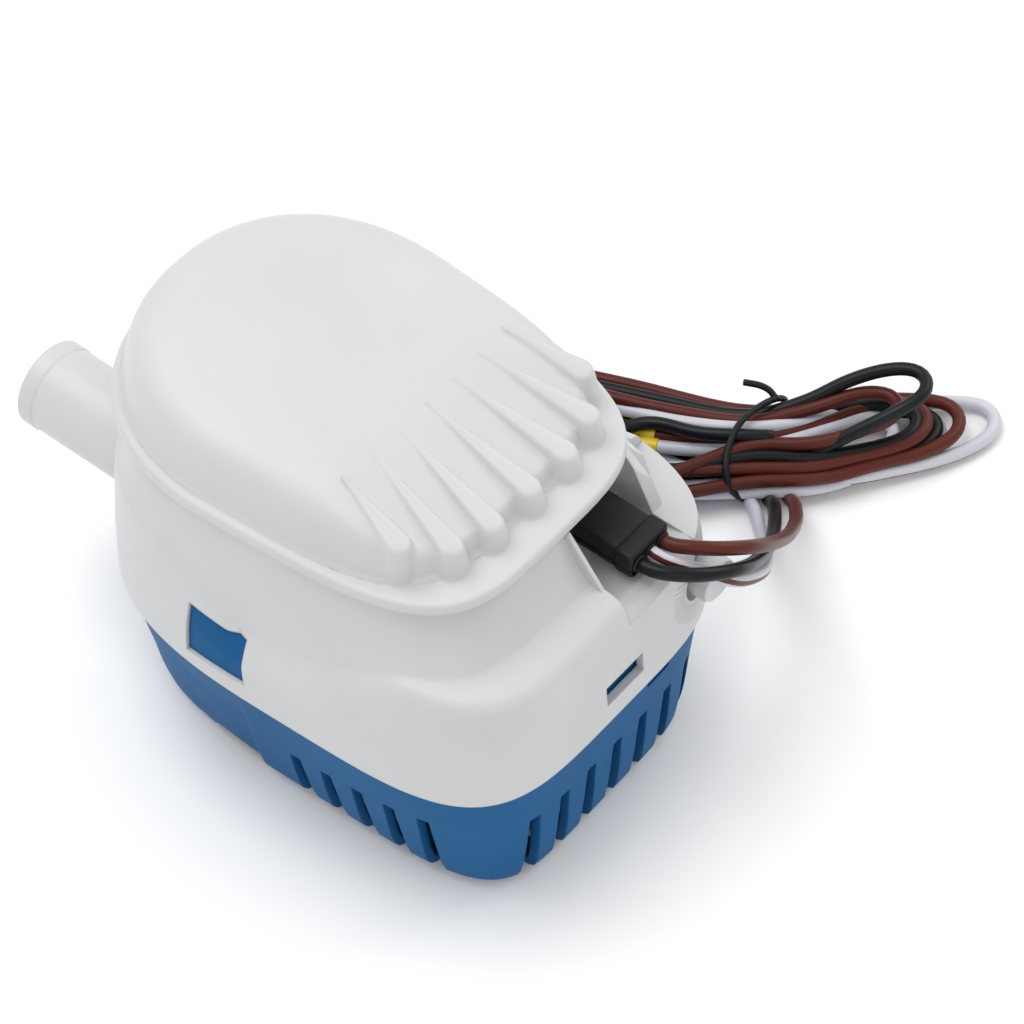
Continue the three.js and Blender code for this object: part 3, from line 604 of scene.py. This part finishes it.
def smooth_path(points, step=1.6, passes=5):
    """Evenly spaced points on a rounded curve through corners. The first ones stay in place."""
    corners = np.array(points, float)
    padded = np.vstack([2 * corners[0] - corners[1], corners, 2 * corners[-1] - corners[-2]])
    fine = []
    for k in range(1, len(padded) - 2):
        a, b, c, d = padded[k - 1:k + 3]
        for t in np.linspace(0, 1, 16, endpoint=False):
            fine.append(0.5 * (2 * b + (c - a) * t + (2 * a - 5 * b + 4 * c - d) * t * t
                               + (3 * b - a - 3 * c + d) * t ** 3))
    fine.append(corners[-1])
    fine = np.array(fine)
    length = np.concatenate([[0], np.cumsum(np.linalg.norm(np.diff(fine, axis=0), axis=1))])
    even = np.linspace(0, length[-1], int(length[-1] / step) + 1)
    path = np.stack([np.interp(even, length, fine[:, k]) for k in range(3)], axis=1)
    keep = 5
    for _ in range(passes):
        path[keep:-1] = path[keep:-1] * 0.5 + 0.25 * (path[keep - 1:-2] + path[keep + 1:])
    return path


def tube_rings(path, radius, sides):
    """Rings square to a path, carried along without twist. The ends are rounded over."""
    tangents = np.gradient(path, axis=0)
    tangents /= np.linalg.norm(tangents, axis=1)[:, None]
    side = np.cross(tangents[0], (0, 0, 1))
    side /= np.linalg.norm(side)
    rings = []
    for k, (point, along) in enumerate(zip(path, tangents)):
        side = side - along * np.dot(side, along)
        side /= np.linalg.norm(side)
        up = np.cross(side, along)
        turn = 2 * math.pi * np.arange(sides) / sides
        ring = point + radius * (np.cos(turn)[:, None] * side + np.sin(turn)[:, None] * up)
        rings.append(ring)
    rim = 0.12 * radius
    for index, sign in ((0, -1), (-1, 1)):
        centre = path[index]
        cap = centre + (rings[index] - centre) * 0.86 + sign * tangents[index] * rim
        rings = [cap, *rings] if index == 0 else [*rings, cap]
    return rings


def tube(name, path, radius, sides=LEAD_SIDES):
    points, faces = skin_rings(tube_rings(path, radius, sides))
    return raw_object(name, points, [face[::-1] for face in faces])


def sleeve_and_tip(name, path, sleeve_from):
    """A coloured end sleeve, with the bare tinned strands standing out of it."""
    tail = path[sleeve_from:]
    sleeve = tube(f"{name}_sleeve", tail, LEAD / 2 + 0.3)
    finish_piece(sleeve, YELLOW, "pump")
    along = path[-1] - path[-3]
    along /= np.linalg.norm(along)
    reach = [path[-1] + along * k for k in np.linspace(0.2, 5.4, 9)]
    wobble = [point + 0.12 * np.array([math.sin(2 * k), math.cos(3 * k), 0])
              for k, point in enumerate(reach)]
    tip = tube(f"{name}_tip", np.array(wobble), 0.85, 10)
    finish_piece(tip, TINNED, "pump")
    return [sleeve, tip]


def lead(name, material):
    """One lead as it lies, from the boot through the hank to its end, with what belongs to it."""
    path = smooth_path([*ROUTES[name], *hank_route(name)])
    obj = tube(name + "_laid", path, LEAD / 2)
    materials, striped = [material], name == "lead_white"
    if striped:
        materials.append(LEAD_BROWN)
    extras = [] if name == "lead_black" else sleeve_and_tip(name, path, -7)
    replaced = [name, "lead_hank"] if name == "lead_brown" else [name]
    finish_piece(obj, materials, "pump", replaced, sharp=60)
    if striped:
        for face in obj.data.polygons:
            if len(face.vertices) == 4 and (face.index % LEAD_SIDES) in STRIPE:
                face.material_index = 1


for lead_name, lead_material in (("lead_black", LEAD_BLACK), ("lead_white", LEAD_WHITE),
                                 ("lead_brown", LEAD_BROWN)):
    lead(lead_name, lead_material)


# ---- tie round the hank

TIE_LOOP = [
    (-0.5, -12.8, 1.6), (-4, -13.8, 5.5), (-6, -12, 10), (-5, -6, 13), (-1.5, 0.5, 14.6),
    (4, 6, 14), (9, 10, 12), (11.8, 12.5, 8), (10.5, 13, 3), (8, 9, 0.9), (4, 0, 0.9),
    (1, -9, 0.9),
]
TIE_TAIL = [(9, 9.4, 12.2), (7.4, 11.6, 13.4), (5, 12.8, 14.2), (1.2, 13.2, 15.2)]
TIE_RADIUS = 0.85


def hank_tie():
    """A wire tie laid once round the hank, with its end standing out."""
    corners = [hank_place(*p) for p in TIE_LOOP]
    path = smooth_path([*corners, *corners[:3]], step=0.9, passes=3)
    start = len(path) // (len(corners) + 2)
    loop = tube("lead_tie_loop", path[:len(path) - start], TIE_RADIUS, 12)
    tail = tube("tail", smooth_path([hank_place(*p) for p in TIE_TAIL], step=0.8, passes=1),
                TIE_RADIUS, 12)
    loop = join(loop, tail)
    finish_piece(loop, TIE, "pump", ["lead_tie"], sharp=60)


hank_tie()


# ---- top cover

COVER_AROUND = 840
COVER_ROWS = 116
FLANGE_TOP = 89.6
DOME_RINGS = [cover_oval(*row) for row in (
    (89.6, 49.6, 54.2, 41.9), (90.6, 49.3, 53.4, 41.3), (93, 49.0, 52.6, 40.6),
    (96.5, 48.5, 51.6, 39.6), (99.6, 47.4, 50.2, 38.2), (101.6, 45.7, 48.2, 36.2, 2.15, 4.0),
    (103.2, 42.6, 45, 32.6, 2.15, 3.8), (104.2, 37.4, 40, 27.4, 2.12, 3.4),
    (104.7, 30, 32.4, 20.8, 2.1, 3), (104.93, 18, 19, 11.8, 2.05, 2.5),
)]
COVER_MIDDLE = (-4.0, 0.0)
COVER_HOLLOW = (3.0, 2.8)  # inwards and down from the outside
# The grooved front falls from this (x, z), and the grip bars' tops fall less steeply.
FALL_FROM = (5.0, 105.0)
GROOVE_FALL, RIDGE_FALL = 0.37, 0.275
RIDGES = 7
RIDGE_START_X, RIDGE_PITCH, RIDGE_OFF = 5.8, 9.1, 0.6
RIDGE_TIPS = ((37.0, 0), (36.9, 13.0), (34.6, 24.0), (26.6, 31.8))
RIDGE_TIP_OFF = 1.3
RIDGE_HALF = (0.55, 2.9)  # half widths at the start and the tip
RIDGE_STEEP, RIDGE_SOFT = 2.6, 0.16
FALL_BLEND, RIDGE_BLEND, FLANGE_BLEND = 3.0, 0.7, 1.8


def along_profile(shapes, count):
    """Ovals spaced evenly over a profile's length, from the rim to the middle."""
    table = np.array(shapes)
    steps = np.hypot(np.diff(table[:, 0]), np.diff(table[:, 3]))
    knots = np.concatenate([[0], np.cumsum(steps)])
    keyed = np.column_stack([knots, table])
    fine = between(keyed, np.linspace(0, knots[-1], count))
    return [row[1:] for row in fine]


def oval_scale(shape, x, y):
    """How far out a place is, as a share of an oval's reach in that direction."""
    _, x0, left, right, half, n_left, n_right, taper = shape
    dx = x - x0
    reach = np.where(dx < 0, left, right)
    power = np.where(dx < 0, n_left, n_right)
    wide = half * (1 - taper * dx / TAPER_LENGTH)
    return ((np.abs(dx) / reach) ** power + (np.abs(y) / wide) ** power) ** (1 / power)


def blend_high(a, b, soft):
    """The higher of two heights, rounded over where they meet."""
    share = np.clip(0.5 + 0.5 * (a - b) / soft, 0, 1)
    return b + (a - b) * share + soft * share * (1 - share)


def dome_height(x, y):
    """Height of the plain dome, or well below the flange outside it."""
    rows = along_profile(DOME_RINGS, 80)
    height = np.full(x.shape, float(rows[0][0]))
    before = oval_scale(rows[0], x, y)
    for low, high in zip(rows, rows[1:]):
        after = oval_scale(high, x, y)
        crossing = (before < 1) & (after >= 1)
        share = (1 - before) / np.maximum(after - before, 1e-9)
        height = np.where(crossing, low[0] + share * (high[0] - low[0]), height)
        before = after
    height = np.where(before < 1, rows[-1][0], height)
    return np.where(oval_scale(rows[0], x, y) >= 1, FLANGE_TOP - 3, height)


def ridge_height(x, y):
    """Seven tapering grip bars with level tops, rounded ends and steep sides."""
    highest = np.full(x.shape, FLANGE_TOP - 3.0)
    top = FALL_FROM[1] - RIDGE_FALL * np.maximum(x - FALL_FROM[0], 0)
    for k in range(-(RIDGES // 2), RIDGES // 2 + 1):
        start = np.array([RIDGE_START_X, k * RIDGE_PITCH + RIDGE_OFF])
        tip_x, tip_y = RIDGE_TIPS[abs(k)]
        tip = np.array([tip_x, np.sign(k) * tip_y + RIDGE_TIP_OFF])
        run = tip - start
        tip = tip - run / np.linalg.norm(run) * RIDGE_HALF[1]
        run = tip - start
        along = np.clip(((x - start[0]) * run[0] + (y - start[1]) * run[1]) / (run @ run), 0, 1)
        half = RIDGE_HALF[0] + (RIDGE_HALF[1] - RIDGE_HALF[0]) * along
        away = np.hypot(x - start[0] - along * run[0], y - start[1] - along * run[1]) - half
        wall = RIDGE_STEEP * (away + np.sqrt(away * away + RIDGE_SOFT))
        highest = np.maximum(highest, top - wall)
    return highest


def cover_height(x, y):
    falling = FALL_FROM[1] - GROOVE_FALL * (x - FALL_FROM[0])
    dome = -blend_high(-dome_height(x, y), -falling, FALL_BLEND)
    shaped = blend_high(dome, ridge_height(x, y), RIDGE_BLEND)
    return blend_high(shaped, np.full(x.shape, FLANGE_TOP), FLANGE_BLEND)


def top_cover():
    """Rings up the rim, then rows that climb from it to the middle, evenly spaced on the skin."""
    edge = along_profile(COVER_RINGS[:5], 12)
    rings = [outline_of(shape, 0, COVER_AROUND) for shape in edge]
    rim = rings.pop()
    share = np.linspace(0, 0.985, 420)[:, None]
    xs = rim[None, :, 0] + (COVER_MIDDLE[0] - rim[None, :, 0]) * share
    ys = rim[None, :, 1] + (COVER_MIDDLE[1] - rim[None, :, 1]) * share
    zs = cover_height(xs, ys)
    zs += (rim[0, 2] - FLANGE_TOP) * np.clip(1 - share * 30, 0, 1)
    steps = np.sqrt(np.diff(xs, axis=0) ** 2 + np.diff(ys, axis=0) ** 2
                    + np.diff(zs, axis=0) ** 2)
    run = np.vstack([np.zeros(COVER_AROUND), np.cumsum(steps, axis=0)])
    inner = np.zeros((COVER_ROWS, COVER_AROUND, 3))
    for j in range(COVER_AROUND):
        even = np.linspace(0, run[-1, j], COVER_ROWS)
        for axis, values in enumerate((xs, ys, zs)):
            inner[:, j, axis] = np.interp(even, run[:, j], values[:, j])
    skin = loft("cover", [*rings, *inner])
    inset, drop = COVER_HOLLOW
    hollow = [outline_of(shape, inset, 240) - (0, 0, drop)
              for shape in along_profile(DOME_RINGS[2:], 24)]
    first = hollow[0] * (1, 1, 0) + (0, 0, COVER_RINGS[0][0] - 1)
    hollow = loft("hollow", [first, *hollow])
    x0, z0 = FALL_FROM[0] - 2, FALL_FROM[1] - 3.6
    x1, z1 = x0 + 40, z0 + 9
    under_grooves = [(x0, z0), (x1, z0 - 40 * GROOVE_FALL), (x1, z1), (x0, z1)]
    hollow = cut(hollow, wedge(under_grooves, (-60, 60)))
    cut(skin, hollow)
    finish_piece(skin, WHITE, "pump", ["top_cover"], sharp=60)


top_cover()


# ---- housing shell

SHELL_AROUND = 448
# How far the crease is shifted in height at each x, and the heights it fades out to.
CREASE = ((-70, 0), (-35, -3), (-9, -15), (8, -11), (22, -5), (31, -1.2), (36, 0), (70, 0))
CREASE_Z = (44, 72.6, 84.4)
LEDGE_WALL = 1.8
# Corners (x, z) of the sharp edge before the recess and of what is cut away above the rib
# behind it.
RECESS_EDGE = ((40, 84.4), (43.3, 84.4), (54.8, 70), (56.5, 66), (50, 66), (40, 72))
ABOVE_RIB = ((37, 100), (37, 84.6), (45.8, TOWER_TOP), (90, TOWER_TOP), (90, 100))
DIAL_RAYS, DIAL_FROM, DIAL_STEP = 26, 130, 8  # angles in degrees
DIAL_SPAN = (8.2, 12.6)


def crease_shift(points):
    """The crease of the long sides sinks away from the ledge at the +X end and fades out."""
    points = points.copy()
    xs, shifts = zip(*CREASE)
    bottom, middle, top = CREASE_Z
    z = points[:, 2]
    low = np.clip((z - bottom) / (middle - bottom), 0, 1)
    high = np.clip((top - z) / (top - middle), 0, 1)
    weight = np.minimum(low * low * (3 - 2 * low), high * (2 - high))
    points[:, 2] = z + weight * np.interp(points[:, 0], xs, shifts)
    return points


def shell_body(name, shapes, levels, inset=0.0):
    rings = [outline_of(shape, inset, SHELL_AROUND) for shape in between(shapes, levels)]
    return loft(name, [crease_shift(ring) for ring in rings])


def recess_floor(drop):
    """Outline (x, z) of the cable recess, or of the room under its floor and back wall."""
    back = RECESS_BACK - drop
    return [(back, 100), (back, 66 - drop), (41, 64 - drop), (50, 65.8 - drop), (55, 67 - drop),
            (58, 66.6 - drop), (60.4, 65 - drop), (62, 62.4 - drop), (80, 56 - drop), (80, 100)]


def corner_line(drop):
    """Slanted end of the rear corner, down to the flat top of the tower beside the recess."""
    (x0, x1), top = TOWER_X, TOWER_TOP
    return [(x0 - drop, 100), (x0 - drop, 85 - drop), (x1 - drop, top - drop), (90, top - drop),
            (90, 100)]


def ends(span, grow):
    """A span lengthened at both ends."""
    return (span[0] - grow, span[1] + grow)


def housing_shell():
    """The outer body with its recess and low corner, hollowed into a wet and a dry room."""
    low, high = HOUSING_RINGS[0][0], HOUSING_RINGS[-1][0]
    levels = [*levels_of(low, 66, 1.2), *levels_of(66.3, 74.4, 0.3), *levels_of(75, high, 0.8)]
    outer = shell_body("housing", HOUSING_RINGS, levels)
    tower_near, tower_far = TOWER_Y
    recess = rounded(wedge(recess_floor(0), RECESS_Y), 1.2, 4, 12)
    corner = wedge(corner_line(0), (tower_near - 0.01, 90))
    outer = cut(outer, recess, corner, wedge(ABOVE_RIB, (RECESS_Y[1] - 0.01, tower_near)),
                block((CORNER_X, 90), (tower_far, 90), (TOWER_TOP, 100)))
    outer = join(outer, wedge(RECESS_EDGE[::-1], (RECESS_Y[0] - 1.1, RECESS_Y[0])))

    below = HOUSING_RINGS[0].copy()
    below[0] = 39
    above = HOUSING_RINGS[-1].copy()
    above[0] = high + 1
    lowered = [shape - np.array([LEDGE_WALL * (60 < shape[0] < 80), 0, 0, 0, 0, 0, 0, 0])
               for shape in HOUSING_RINGS]
    inside = [below, *lowered, above]
    levels = [39, *levels_of(low, high, 1.6), high + 1]
    dry = shell_body("dry", inside, levels, WALL)
    dry = combine(dry, [block((-100, BULKHEAD_X[0]), (-80, 80), (DECK[1], 100))], "INTERSECT")
    wet = shell_body("wet", inside, levels, WALL)
    wet = cut(wet, block((-100, BULKHEAD_X[1]), (-80, 80), (DECK[0], 100)),
              wedge(recess_floor(WALL), ends(RECESS_Y, WALL)),
              wedge(corner_line(WALL), (tower_near - WALL, 90)),
              block((CORNER_X - WALL, 90), (tower_far - WALL, 90), (TOWER_TOP - WALL, 100)))
    shell = cut(outer, wet, dry)

    boss = rod("x", (KNOB_Y, KNOB_Z), KNOB_BOSS, KNOB_BOSS_X)
    trim = shell_body("trim", HOUSING_RINGS, levels_of(low, high, 2.0))
    boss = combine(boss, [trim], "INTERSECT")
    shell = join(shell, boss)
    boot_y, boot_z = BOOT_HOLE
    return cut(
        shell,
        wedge(WINDOW, (-60, -42)), wedge(WINDOW, (42, 60)),
        block((55, 70), *END_SLOT),
        rod("x", (KNOB_Y, KNOB_Z), KNOB_POCKET, (KNOB_FLOOR_X, 80), 64),
        rod("x", (KNOB_Y, KNOB_Z), KNOB_BORE, (40, 80), 32),
        rod("x", (OUTLET_Y, OUTLET_Z), OUTLET_R + GAP, (-90, -40), 96),
        block((20, 40), ends(boot_y, GAP), ends(boot_z, GAP)),
        rod("z", (MOTOR_X, 0), SEAL_HOLE, (60, 68)),
        rod("z", STEM_AT, STEM_HOLE, (60, 68), 24),
    )


def dial_marks(shell):
    """Fine moulded rays round the test knob, laid on the end face."""
    bpy.context.evaluated_depsgraph_get().update()
    points, faces = [], []
    for k in range(DIAL_RAYS):
        angle = math.radians(DIAL_FROM + DIAL_STEP * k)
        ray = Vector((0, math.cos(angle), math.sin(angle)))
        across = Vector((0, -ray.z, ray.y)) * 0.16
        line = []
        for distance in np.linspace(*DIAL_SPAN, 6):
            start = Vector((90, KNOB_Y, KNOB_Z)) + ray * distance
            hit, at, normal, _ = shell.ray_cast(start, Vector((-1, 0, 0)))
            if hit and at.x > 54:
                line.append((at, normal))
        if len(line) < 3:
            continue
        first = len(points)
        for at, normal in line:
            for corner in (at - across - normal * 0.3, at + across - normal * 0.3,
                           at + across * 0.5 + normal * 0.08, at - across * 0.5 + normal * 0.08):
                points.append(tuple(corner))
        for r in range(len(line) - 1):
            a = first + 4 * r
            for i in range(4):
                j = (i + 1) % 4
                faces.append((a + i, a + j, a + 4 + j, a + 4 + i))
        last = first + 4 * (len(line) - 1)
        faces += [(first + 3, first + 2, first + 1, first), (last, last + 1, last + 2, last + 3)]
    marks = raw_object("dial_marks", points, faces)
    finish_piece(marks, WHITE, "pump")


shell_piece = housing_shell()
dial_marks(shell_piece)
finish_piece(shell_piece, WHITE, "pump", ["housing_shell"])


# ---- strainer base

# The plain stretch of the foot, where it starts, how long its two slopes are, how high it fades
# out and by what share it is narrower.
FOLD_X, FOLD_LENGTH = -8.0, 1.4
FOLD_END_X, FOLD_END_LENGTH = -48, 20
FOLD_TOP, FOLD_FADE = 39.5, 14
FOLD_SHARE = 0.026
FLOOR_TOP = 2.6
SPIGOT = ((2.8, 37), (3.1, 47))  # inset and height at its bottom and top, and within
SPIGOT_BORE = ((4.9, 36), (4.9, 48))
CABLE_HOOK = ((56.4, 58.6), (-8, 11), (38, 53.6))
LATCH_NOTCH = ((58.6, 70), (10.8, 19), (35.6, 43))
# Corners (x, z) of the opening in each long side.
ARCH = ((-26.5, -1), (-24.5, 4.6), (-21.5, 6.4), (-7.8, 4.8), (-6.2, -1))
SLOT_HALVES = (1.5, 2.3)  # half widths at the top and on the ground
SIDE_SLOTS, SIDE_SLOT_X, SIDE_SLOT_PITCH = 5, 5.1, 8.9
SIDE_SLOT_TOP, SIDE_SLOT_RISE = 22.6, 1.1
END_SLOT_Y, END_SLOT_PITCH, END_SLOT_TOP = 1.4, 9.4, 25
FLOOR_SLOT_PITCH = 6
MOUNT_X, MOUNT_BOSS, MOUNT_HOLE = (-50, 30), 6.5, 2.6


def foot_fold(points):
    """The slotted stretch stands proud of the plain foot, with a crease between them."""
    points = points.copy()
    x, y, z = points.T
    step = (np.clip((FOLD_X - x) / FOLD_LENGTH, 0, 1)
            * np.clip((x - FOLD_END_X) / FOLD_END_LENGTH, 0, 1))
    fade = np.clip((FOLD_TOP - z) / FOLD_FADE, 0, 1)
    points[:, 1] = y * (1 - FOLD_SHARE * step * fade)
    return points


def base_body(name, shapes, levels, inset=0.0):
    rings = [outline_of(shape, inset, SHELL_AROUND) for shape in between(shapes, levels)]
    return loft(name, [foot_fold(ring) for ring in rings])


def slot(place, through, top, along):
    """A slot cutter, open at the bottom and widening downwards. place is its middle and its
    half widths at the top and on the ground."""
    middle, narrow, wide = place
    rings = []
    for z, half in ((-3, wide + 0.1), (0, wide), (top, narrow)):
        corners = [(middle - half, through[0]), (middle + half, through[0]),
                   (middle + half, through[1]), (middle - half, through[1])]
        if along == "y":
            corners = [(v, u) for u, v in corners][::-1]
        rings.append([(u, v, z) for u, v in corners])
    return rounded(loft("slot", rings), 0.8, 3, 50)


def strainer_base():
    """A slotted tray with a spigot for the housing, pockets for the tabs and mounting bosses."""
    top = BASE_RINGS[-1][0]
    base = base_body("base", BASE_RINGS, levels_of(0, top, 1.2))
    inner = [*BASE_RINGS[:-1], BASE_RINGS[-1] + np.array([0.1, 0, 0, 0, 0, 0, 0, 0])]
    hollow = base_body("hollow", inner, levels_of(FLOOR_TOP, top + 0.1, 2.4), BASE_WALL)
    skirt = HOUSING_RINGS[0]
    spigot, bore = ([outline_of(skirt, inset) * (1, 1, 0) + (0, 0, z) for inset, z in ring]
                    for ring in (SPIGOT, SPIGOT_BORE))
    ring = cut(loft("spigot", spigot), loft("bore", bore))
    base = join(cut(base, hollow), ring)
    base = cut(base, block((-80, -50), (OUTLET_Y - 12, OUTLET_Y + 12), (40.3, 50)),
               block((48, 62), (KNOB_Y - 11, KNOB_Y + 11), (44, 50)))
    base = join(base, block(*CABLE_HOOK))
    x0, x1 = WINDOW[0][0], WINDOW[1][0]
    for side in (-1, 1):
        def span(near, far):
            return (near, far) if side > 0 else (-far, -near)
        base = cut(base, block((x0 - 1.2, x1 + 1.2), span(40, 46.8), (31.6, 48)),
                   block((x0 - 1.2, x1 + 1.2), span(40, 50), (40.3, 48)))
        base = join(base, block((x0, x1), span(40.4, 46), (26.6, 29)))

    cuts = [rounded(wedge(ARCH[::-1], span), 1.2, 3, 10) for span in ((-60, -30), (30, 60))]
    for i in range(SIDE_SLOTS):
        x, slot_top = SIDE_SLOT_X + SIDE_SLOT_PITCH * i, SIDE_SLOT_TOP + SIDE_SLOT_RISE * i
        for y in ((-60, -34.5), (34.5, 60)):
            cuts.append(slot((x, *SLOT_HALVES), y, slot_top, "x"))
    for i in range(-3, 4):
        y = END_SLOT_Y + END_SLOT_PITCH * i
        cuts.append(slot((y, *SLOT_HALVES), (49.5, 70), END_SLOT_TOP, "y"))
        x = MOTOR_X + FLOOR_SLOT_PITCH * i
        cuts.append(rounded(block((x - 1.5, x + 1.5), (-16, 16), (-1, 4)), 0.5, 2))
    cuts.append(rounded(block(*LATCH_NOTCH), 0.5, 3))
    base = cut(base, *cuts)
    for x in MOUNT_X:
        base = join(base, rod("z", (x, 0), MOUNT_BOSS, (1, 5)))
        base = cut(base, rod("z", (x, 0), MOUNT_HOLE, (-1, 6)))
    finish_piece(base, BLUE, "base", ["strainer_base"])


strainer_base()


# ---- release tabs

TAB_PLATE = (0.4, 1.8)  # behind the wall, and its thickness
TAB_LEG, TAB_LEG_Z = (43.2, 45.4), (29.3, 47)
TAB_FOOT, TAB_FOOT_HEIGHT = (43.2, 47.2), 2
TAB_FACE_SCALE = 0.975  # of the window


def wall_slice(depth, thickness):
    """The part of the housing's wall between two depths."""
    levels = levels_of(HOUSING_RINGS[0][0], HOUSING_RINGS[-1][0], 1.6)
    body = shell_body("slice", HOUSING_RINGS, levels, depth)
    return cut(body, shell_body("behind", HOUSING_RINGS, levels, depth + thickness))


def release_tab(side, name, body):
    """A plate behind the wall, with a pressed face that stands in the window, on a leg."""
    low, high = WINDOW[0][1] - 2.4, WINDOW[-1][1] + 1.2
    x0, x1 = WINDOW[0][0] + 0.3, WINDOW[1][0] - 0.1
    through = (42, 60) if side > 0 else (-60, -42)
    middle = np.mean(WINDOW, axis=0)
    face = [tuple(middle + (np.array(corner) - middle) * TAB_FACE_SCALE) for corner in WINDOW]
    face = combine(wall_slice(WALL - TAB_PROUD, TAB_PROUD + 1.2), [wedge(face, through)],
                   "INTERSECT")
    behind, thickness = TAB_PLATE
    plate = combine(wall_slice(WALL + behind, thickness), [block((x0, x1), through, (low, high))],
                    "INTERSECT")
    leg_x = (x0 + 4, x1 - 4)
    leg = block(leg_x, sorted(side * y for y in TAB_LEG), TAB_LEG_Z)
    foot = block(leg_x, sorted(side * y for y in TAB_FOOT), (low, low + TAB_FOOT_HEIGHT))
    finish_piece(join(plate, face, leg, foot), BLUE, body, [name], sharp=40)


release_tab(-1, "release_tab_right", "right_tab")
release_tab(1, "release_tab_left", "left_tab")


# ---- pump end and outlet

VOLUTE_R, VOLUTE_ROOM_R, VOLUTE_Z = 24, 21, (43, 62.7)
VOLUTE_ROOF = 2.4
SHAFT_HOLE = 4


def volute_body():
    """The round pump room with the outlet pipe, which has a low bead round its mouth."""
    centre, across = (MOTOR_X, 0), (OUTLET_Y, OUTLET_Z)
    end = pipe_low[0]
    bottom, top = VOLUTE_Z
    lip = OUTLET_R + 0.25
    pipe = turned("volute", across, [
        (0.5, end + 1), (OUTLET_R - 1.1, end), (lip - 0.5, end), (lip, end + 0.5),
        (lip, end + 4.2), (lip - 0.1, end + 4.5), (OUTLET_R, end + 4.7), (OUTLET_R, MOTOR_X),
        (0.5, MOTOR_X)], 128)
    pipe = cut(pipe, block((MOTOR_X - 25, 0), (-40, 40), (20, bottom)))
    body = join(rod("z", centre, VOLUTE_R, VOLUTE_Z, 96), pipe)
    body = cut(body, rod("z", centre, VOLUTE_ROOM_R, (bottom - 1, top - VOLUTE_ROOF), 96),
               rod("x", across, OUTLET_BORE, (end - 1, MOTOR_X - 6), 96),
               rod("z", centre, SHAFT_HOLE, (58, 66)))
    finish_piece(body, WHITE, "pump", ["volute_body"])


volute_body()


# ---- test knob

KNOB_SIDES, KNOB_TEETH, KNOB_TOOTH = 288, 48, 0.2


def test_knob():
    """A turned grip with fine ribs round it and a slightly crowned face."""
    radius = (knob_high[2] - knob_low[2]) / 2
    low, high = knob_low[0], knob_high[0]
    outline = [(radius * 0.5, low), (radius - 0.3, low), (radius, low + 0.3),
               (radius, high - 0.9), (radius - 0.25, high - 0.35), (radius - 0.9, high - 0.05),
               (radius - 1.5, high - 0.12), (radius - 2.2, high - 0.3), (1.2, high - 0.3)]
    rings = []
    for r, along in outline:
        ring = []
        ribbed = low + 0.5 < along < high - 0.5 or along == low + 0.3
        for i in range(KNOB_SIDES):
            angle = 2 * math.pi * i / KNOB_SIDES
            depth = KNOB_TOOTH * (1 - math.cos(KNOB_TEETH * angle)) if ribbed else 0.0
            ring.append((along, KNOB_Y + (r - depth) * math.cos(angle),
                         KNOB_Z + (r - depth) * math.sin(angle)))
        rings.append(ring)
    grip = loft("knob", rings)
    grip = cut(grip, rod("x", (KNOB_Y, KNOB_Z), KNOB_BORE, (50, 61), 32))
    finish_piece(grip, WHITE, "knob", ["test_knob"], sharp=40)


test_knob()


# ---- cable boot

COLLAR = 5


def cable_boot():
    """A rubber boot with a collar at its mouth, a round rib along its lower edge and a lip
    round each lead."""
    x0, x1 = boot_low[0], boot_high[0]
    y, z = (boot_low[1], boot_high[1]), (boot_low[2], boot_high[2])
    collar_from = x1 - COLLAR
    body = rounded(block((x0, collar_from + 1), ends(y, -0.4), ends(z, -0.3)), 0.9, 4)
    collar = rounded(block((collar_from, x1), y, z), 0.8, 4)
    rib = turned("rib", (y[0] + 1.7, z[0] + 1.5), [
        (0.1, 36), (1.5, 36.5), (1.6, 38), (1.6, collar_from), (0.1, collar_from + 0.5)], 32)
    bead = turned("bead", (y[0] + 1.8, z[0] + 1.6), [
        (0.1, collar_from + 0.2), (1.95, collar_from + 0.4), (2.05, x1 - 0.6), (1.8, x1),
        (0.1, x1 + 0.05)], 32)
    boot = join(body, collar, rib, bead)
    lips = []
    for route in ROUTES.values():
        lips.append(turned("lip", route[0][1:], [
            (0.4, x1 - 1), (2.15, x1 - 1), (2.2, x1 + 0.35), (1.95, x1 + 0.6), (0.4, x1 + 0.6)],
            32))
    boot = join(boot, *lips)
    finish_piece(boot, RUBBER, "pump", ["cable_boot"])


cable_boot()


# ---- floor and light

def make_stage():
    """A wide white ground a little below the part's own."""
    floor = raw_object("floor", [(-6, -6, 0), (6, -6, 0), (6, 6, 0), (-6, 6, 0)], [(0, 1, 2, 3)])
    floor.location.z = -0.0002
    material, tree, shader = nodes_of("floor")
    place = mottled(tree, shader, (0.96, 0.96, 0.955), (0.98, 0.98, 0.975), 2.0)
    grained(tree, shader, place, 60.0, 0.0001, (0.6, 0.7))
    floor.data.materials.append(material)


def area_light(name, place, target, size, power):
    light = bpy.data.lights.new(name, "AREA")
    light.shape = "RECTANGLE"
    light.size, light.size_y = size
    light.energy = power
    aimed(name, light, place, target)


make_stage()
area_light("key", (-0.45, -0.1, 1.25), (0, 0, 0.05), (0.9, 0.9), 8.0)
area_light("fill", (0.9, -0.7, 0.7), (0, 0, 0.05), (0.9, 0.7), 1.4)
area_light("back", (0.2, 1.1, 0.9), (0, 0.05, 0.05), (1.0, 0.6), 4.0)

world = bpy.data.worlds.new("studio")
bpy.context.scene.world = world
world.use_nodes = True
background = world.node_tree.nodes["Background"]
background.inputs["Color"].default_value = (1, 1, 1, 1)
background.inputs["Strength"].default_value = 0.74
bpy.context.scene.view_settings.view_transform = "Standard"
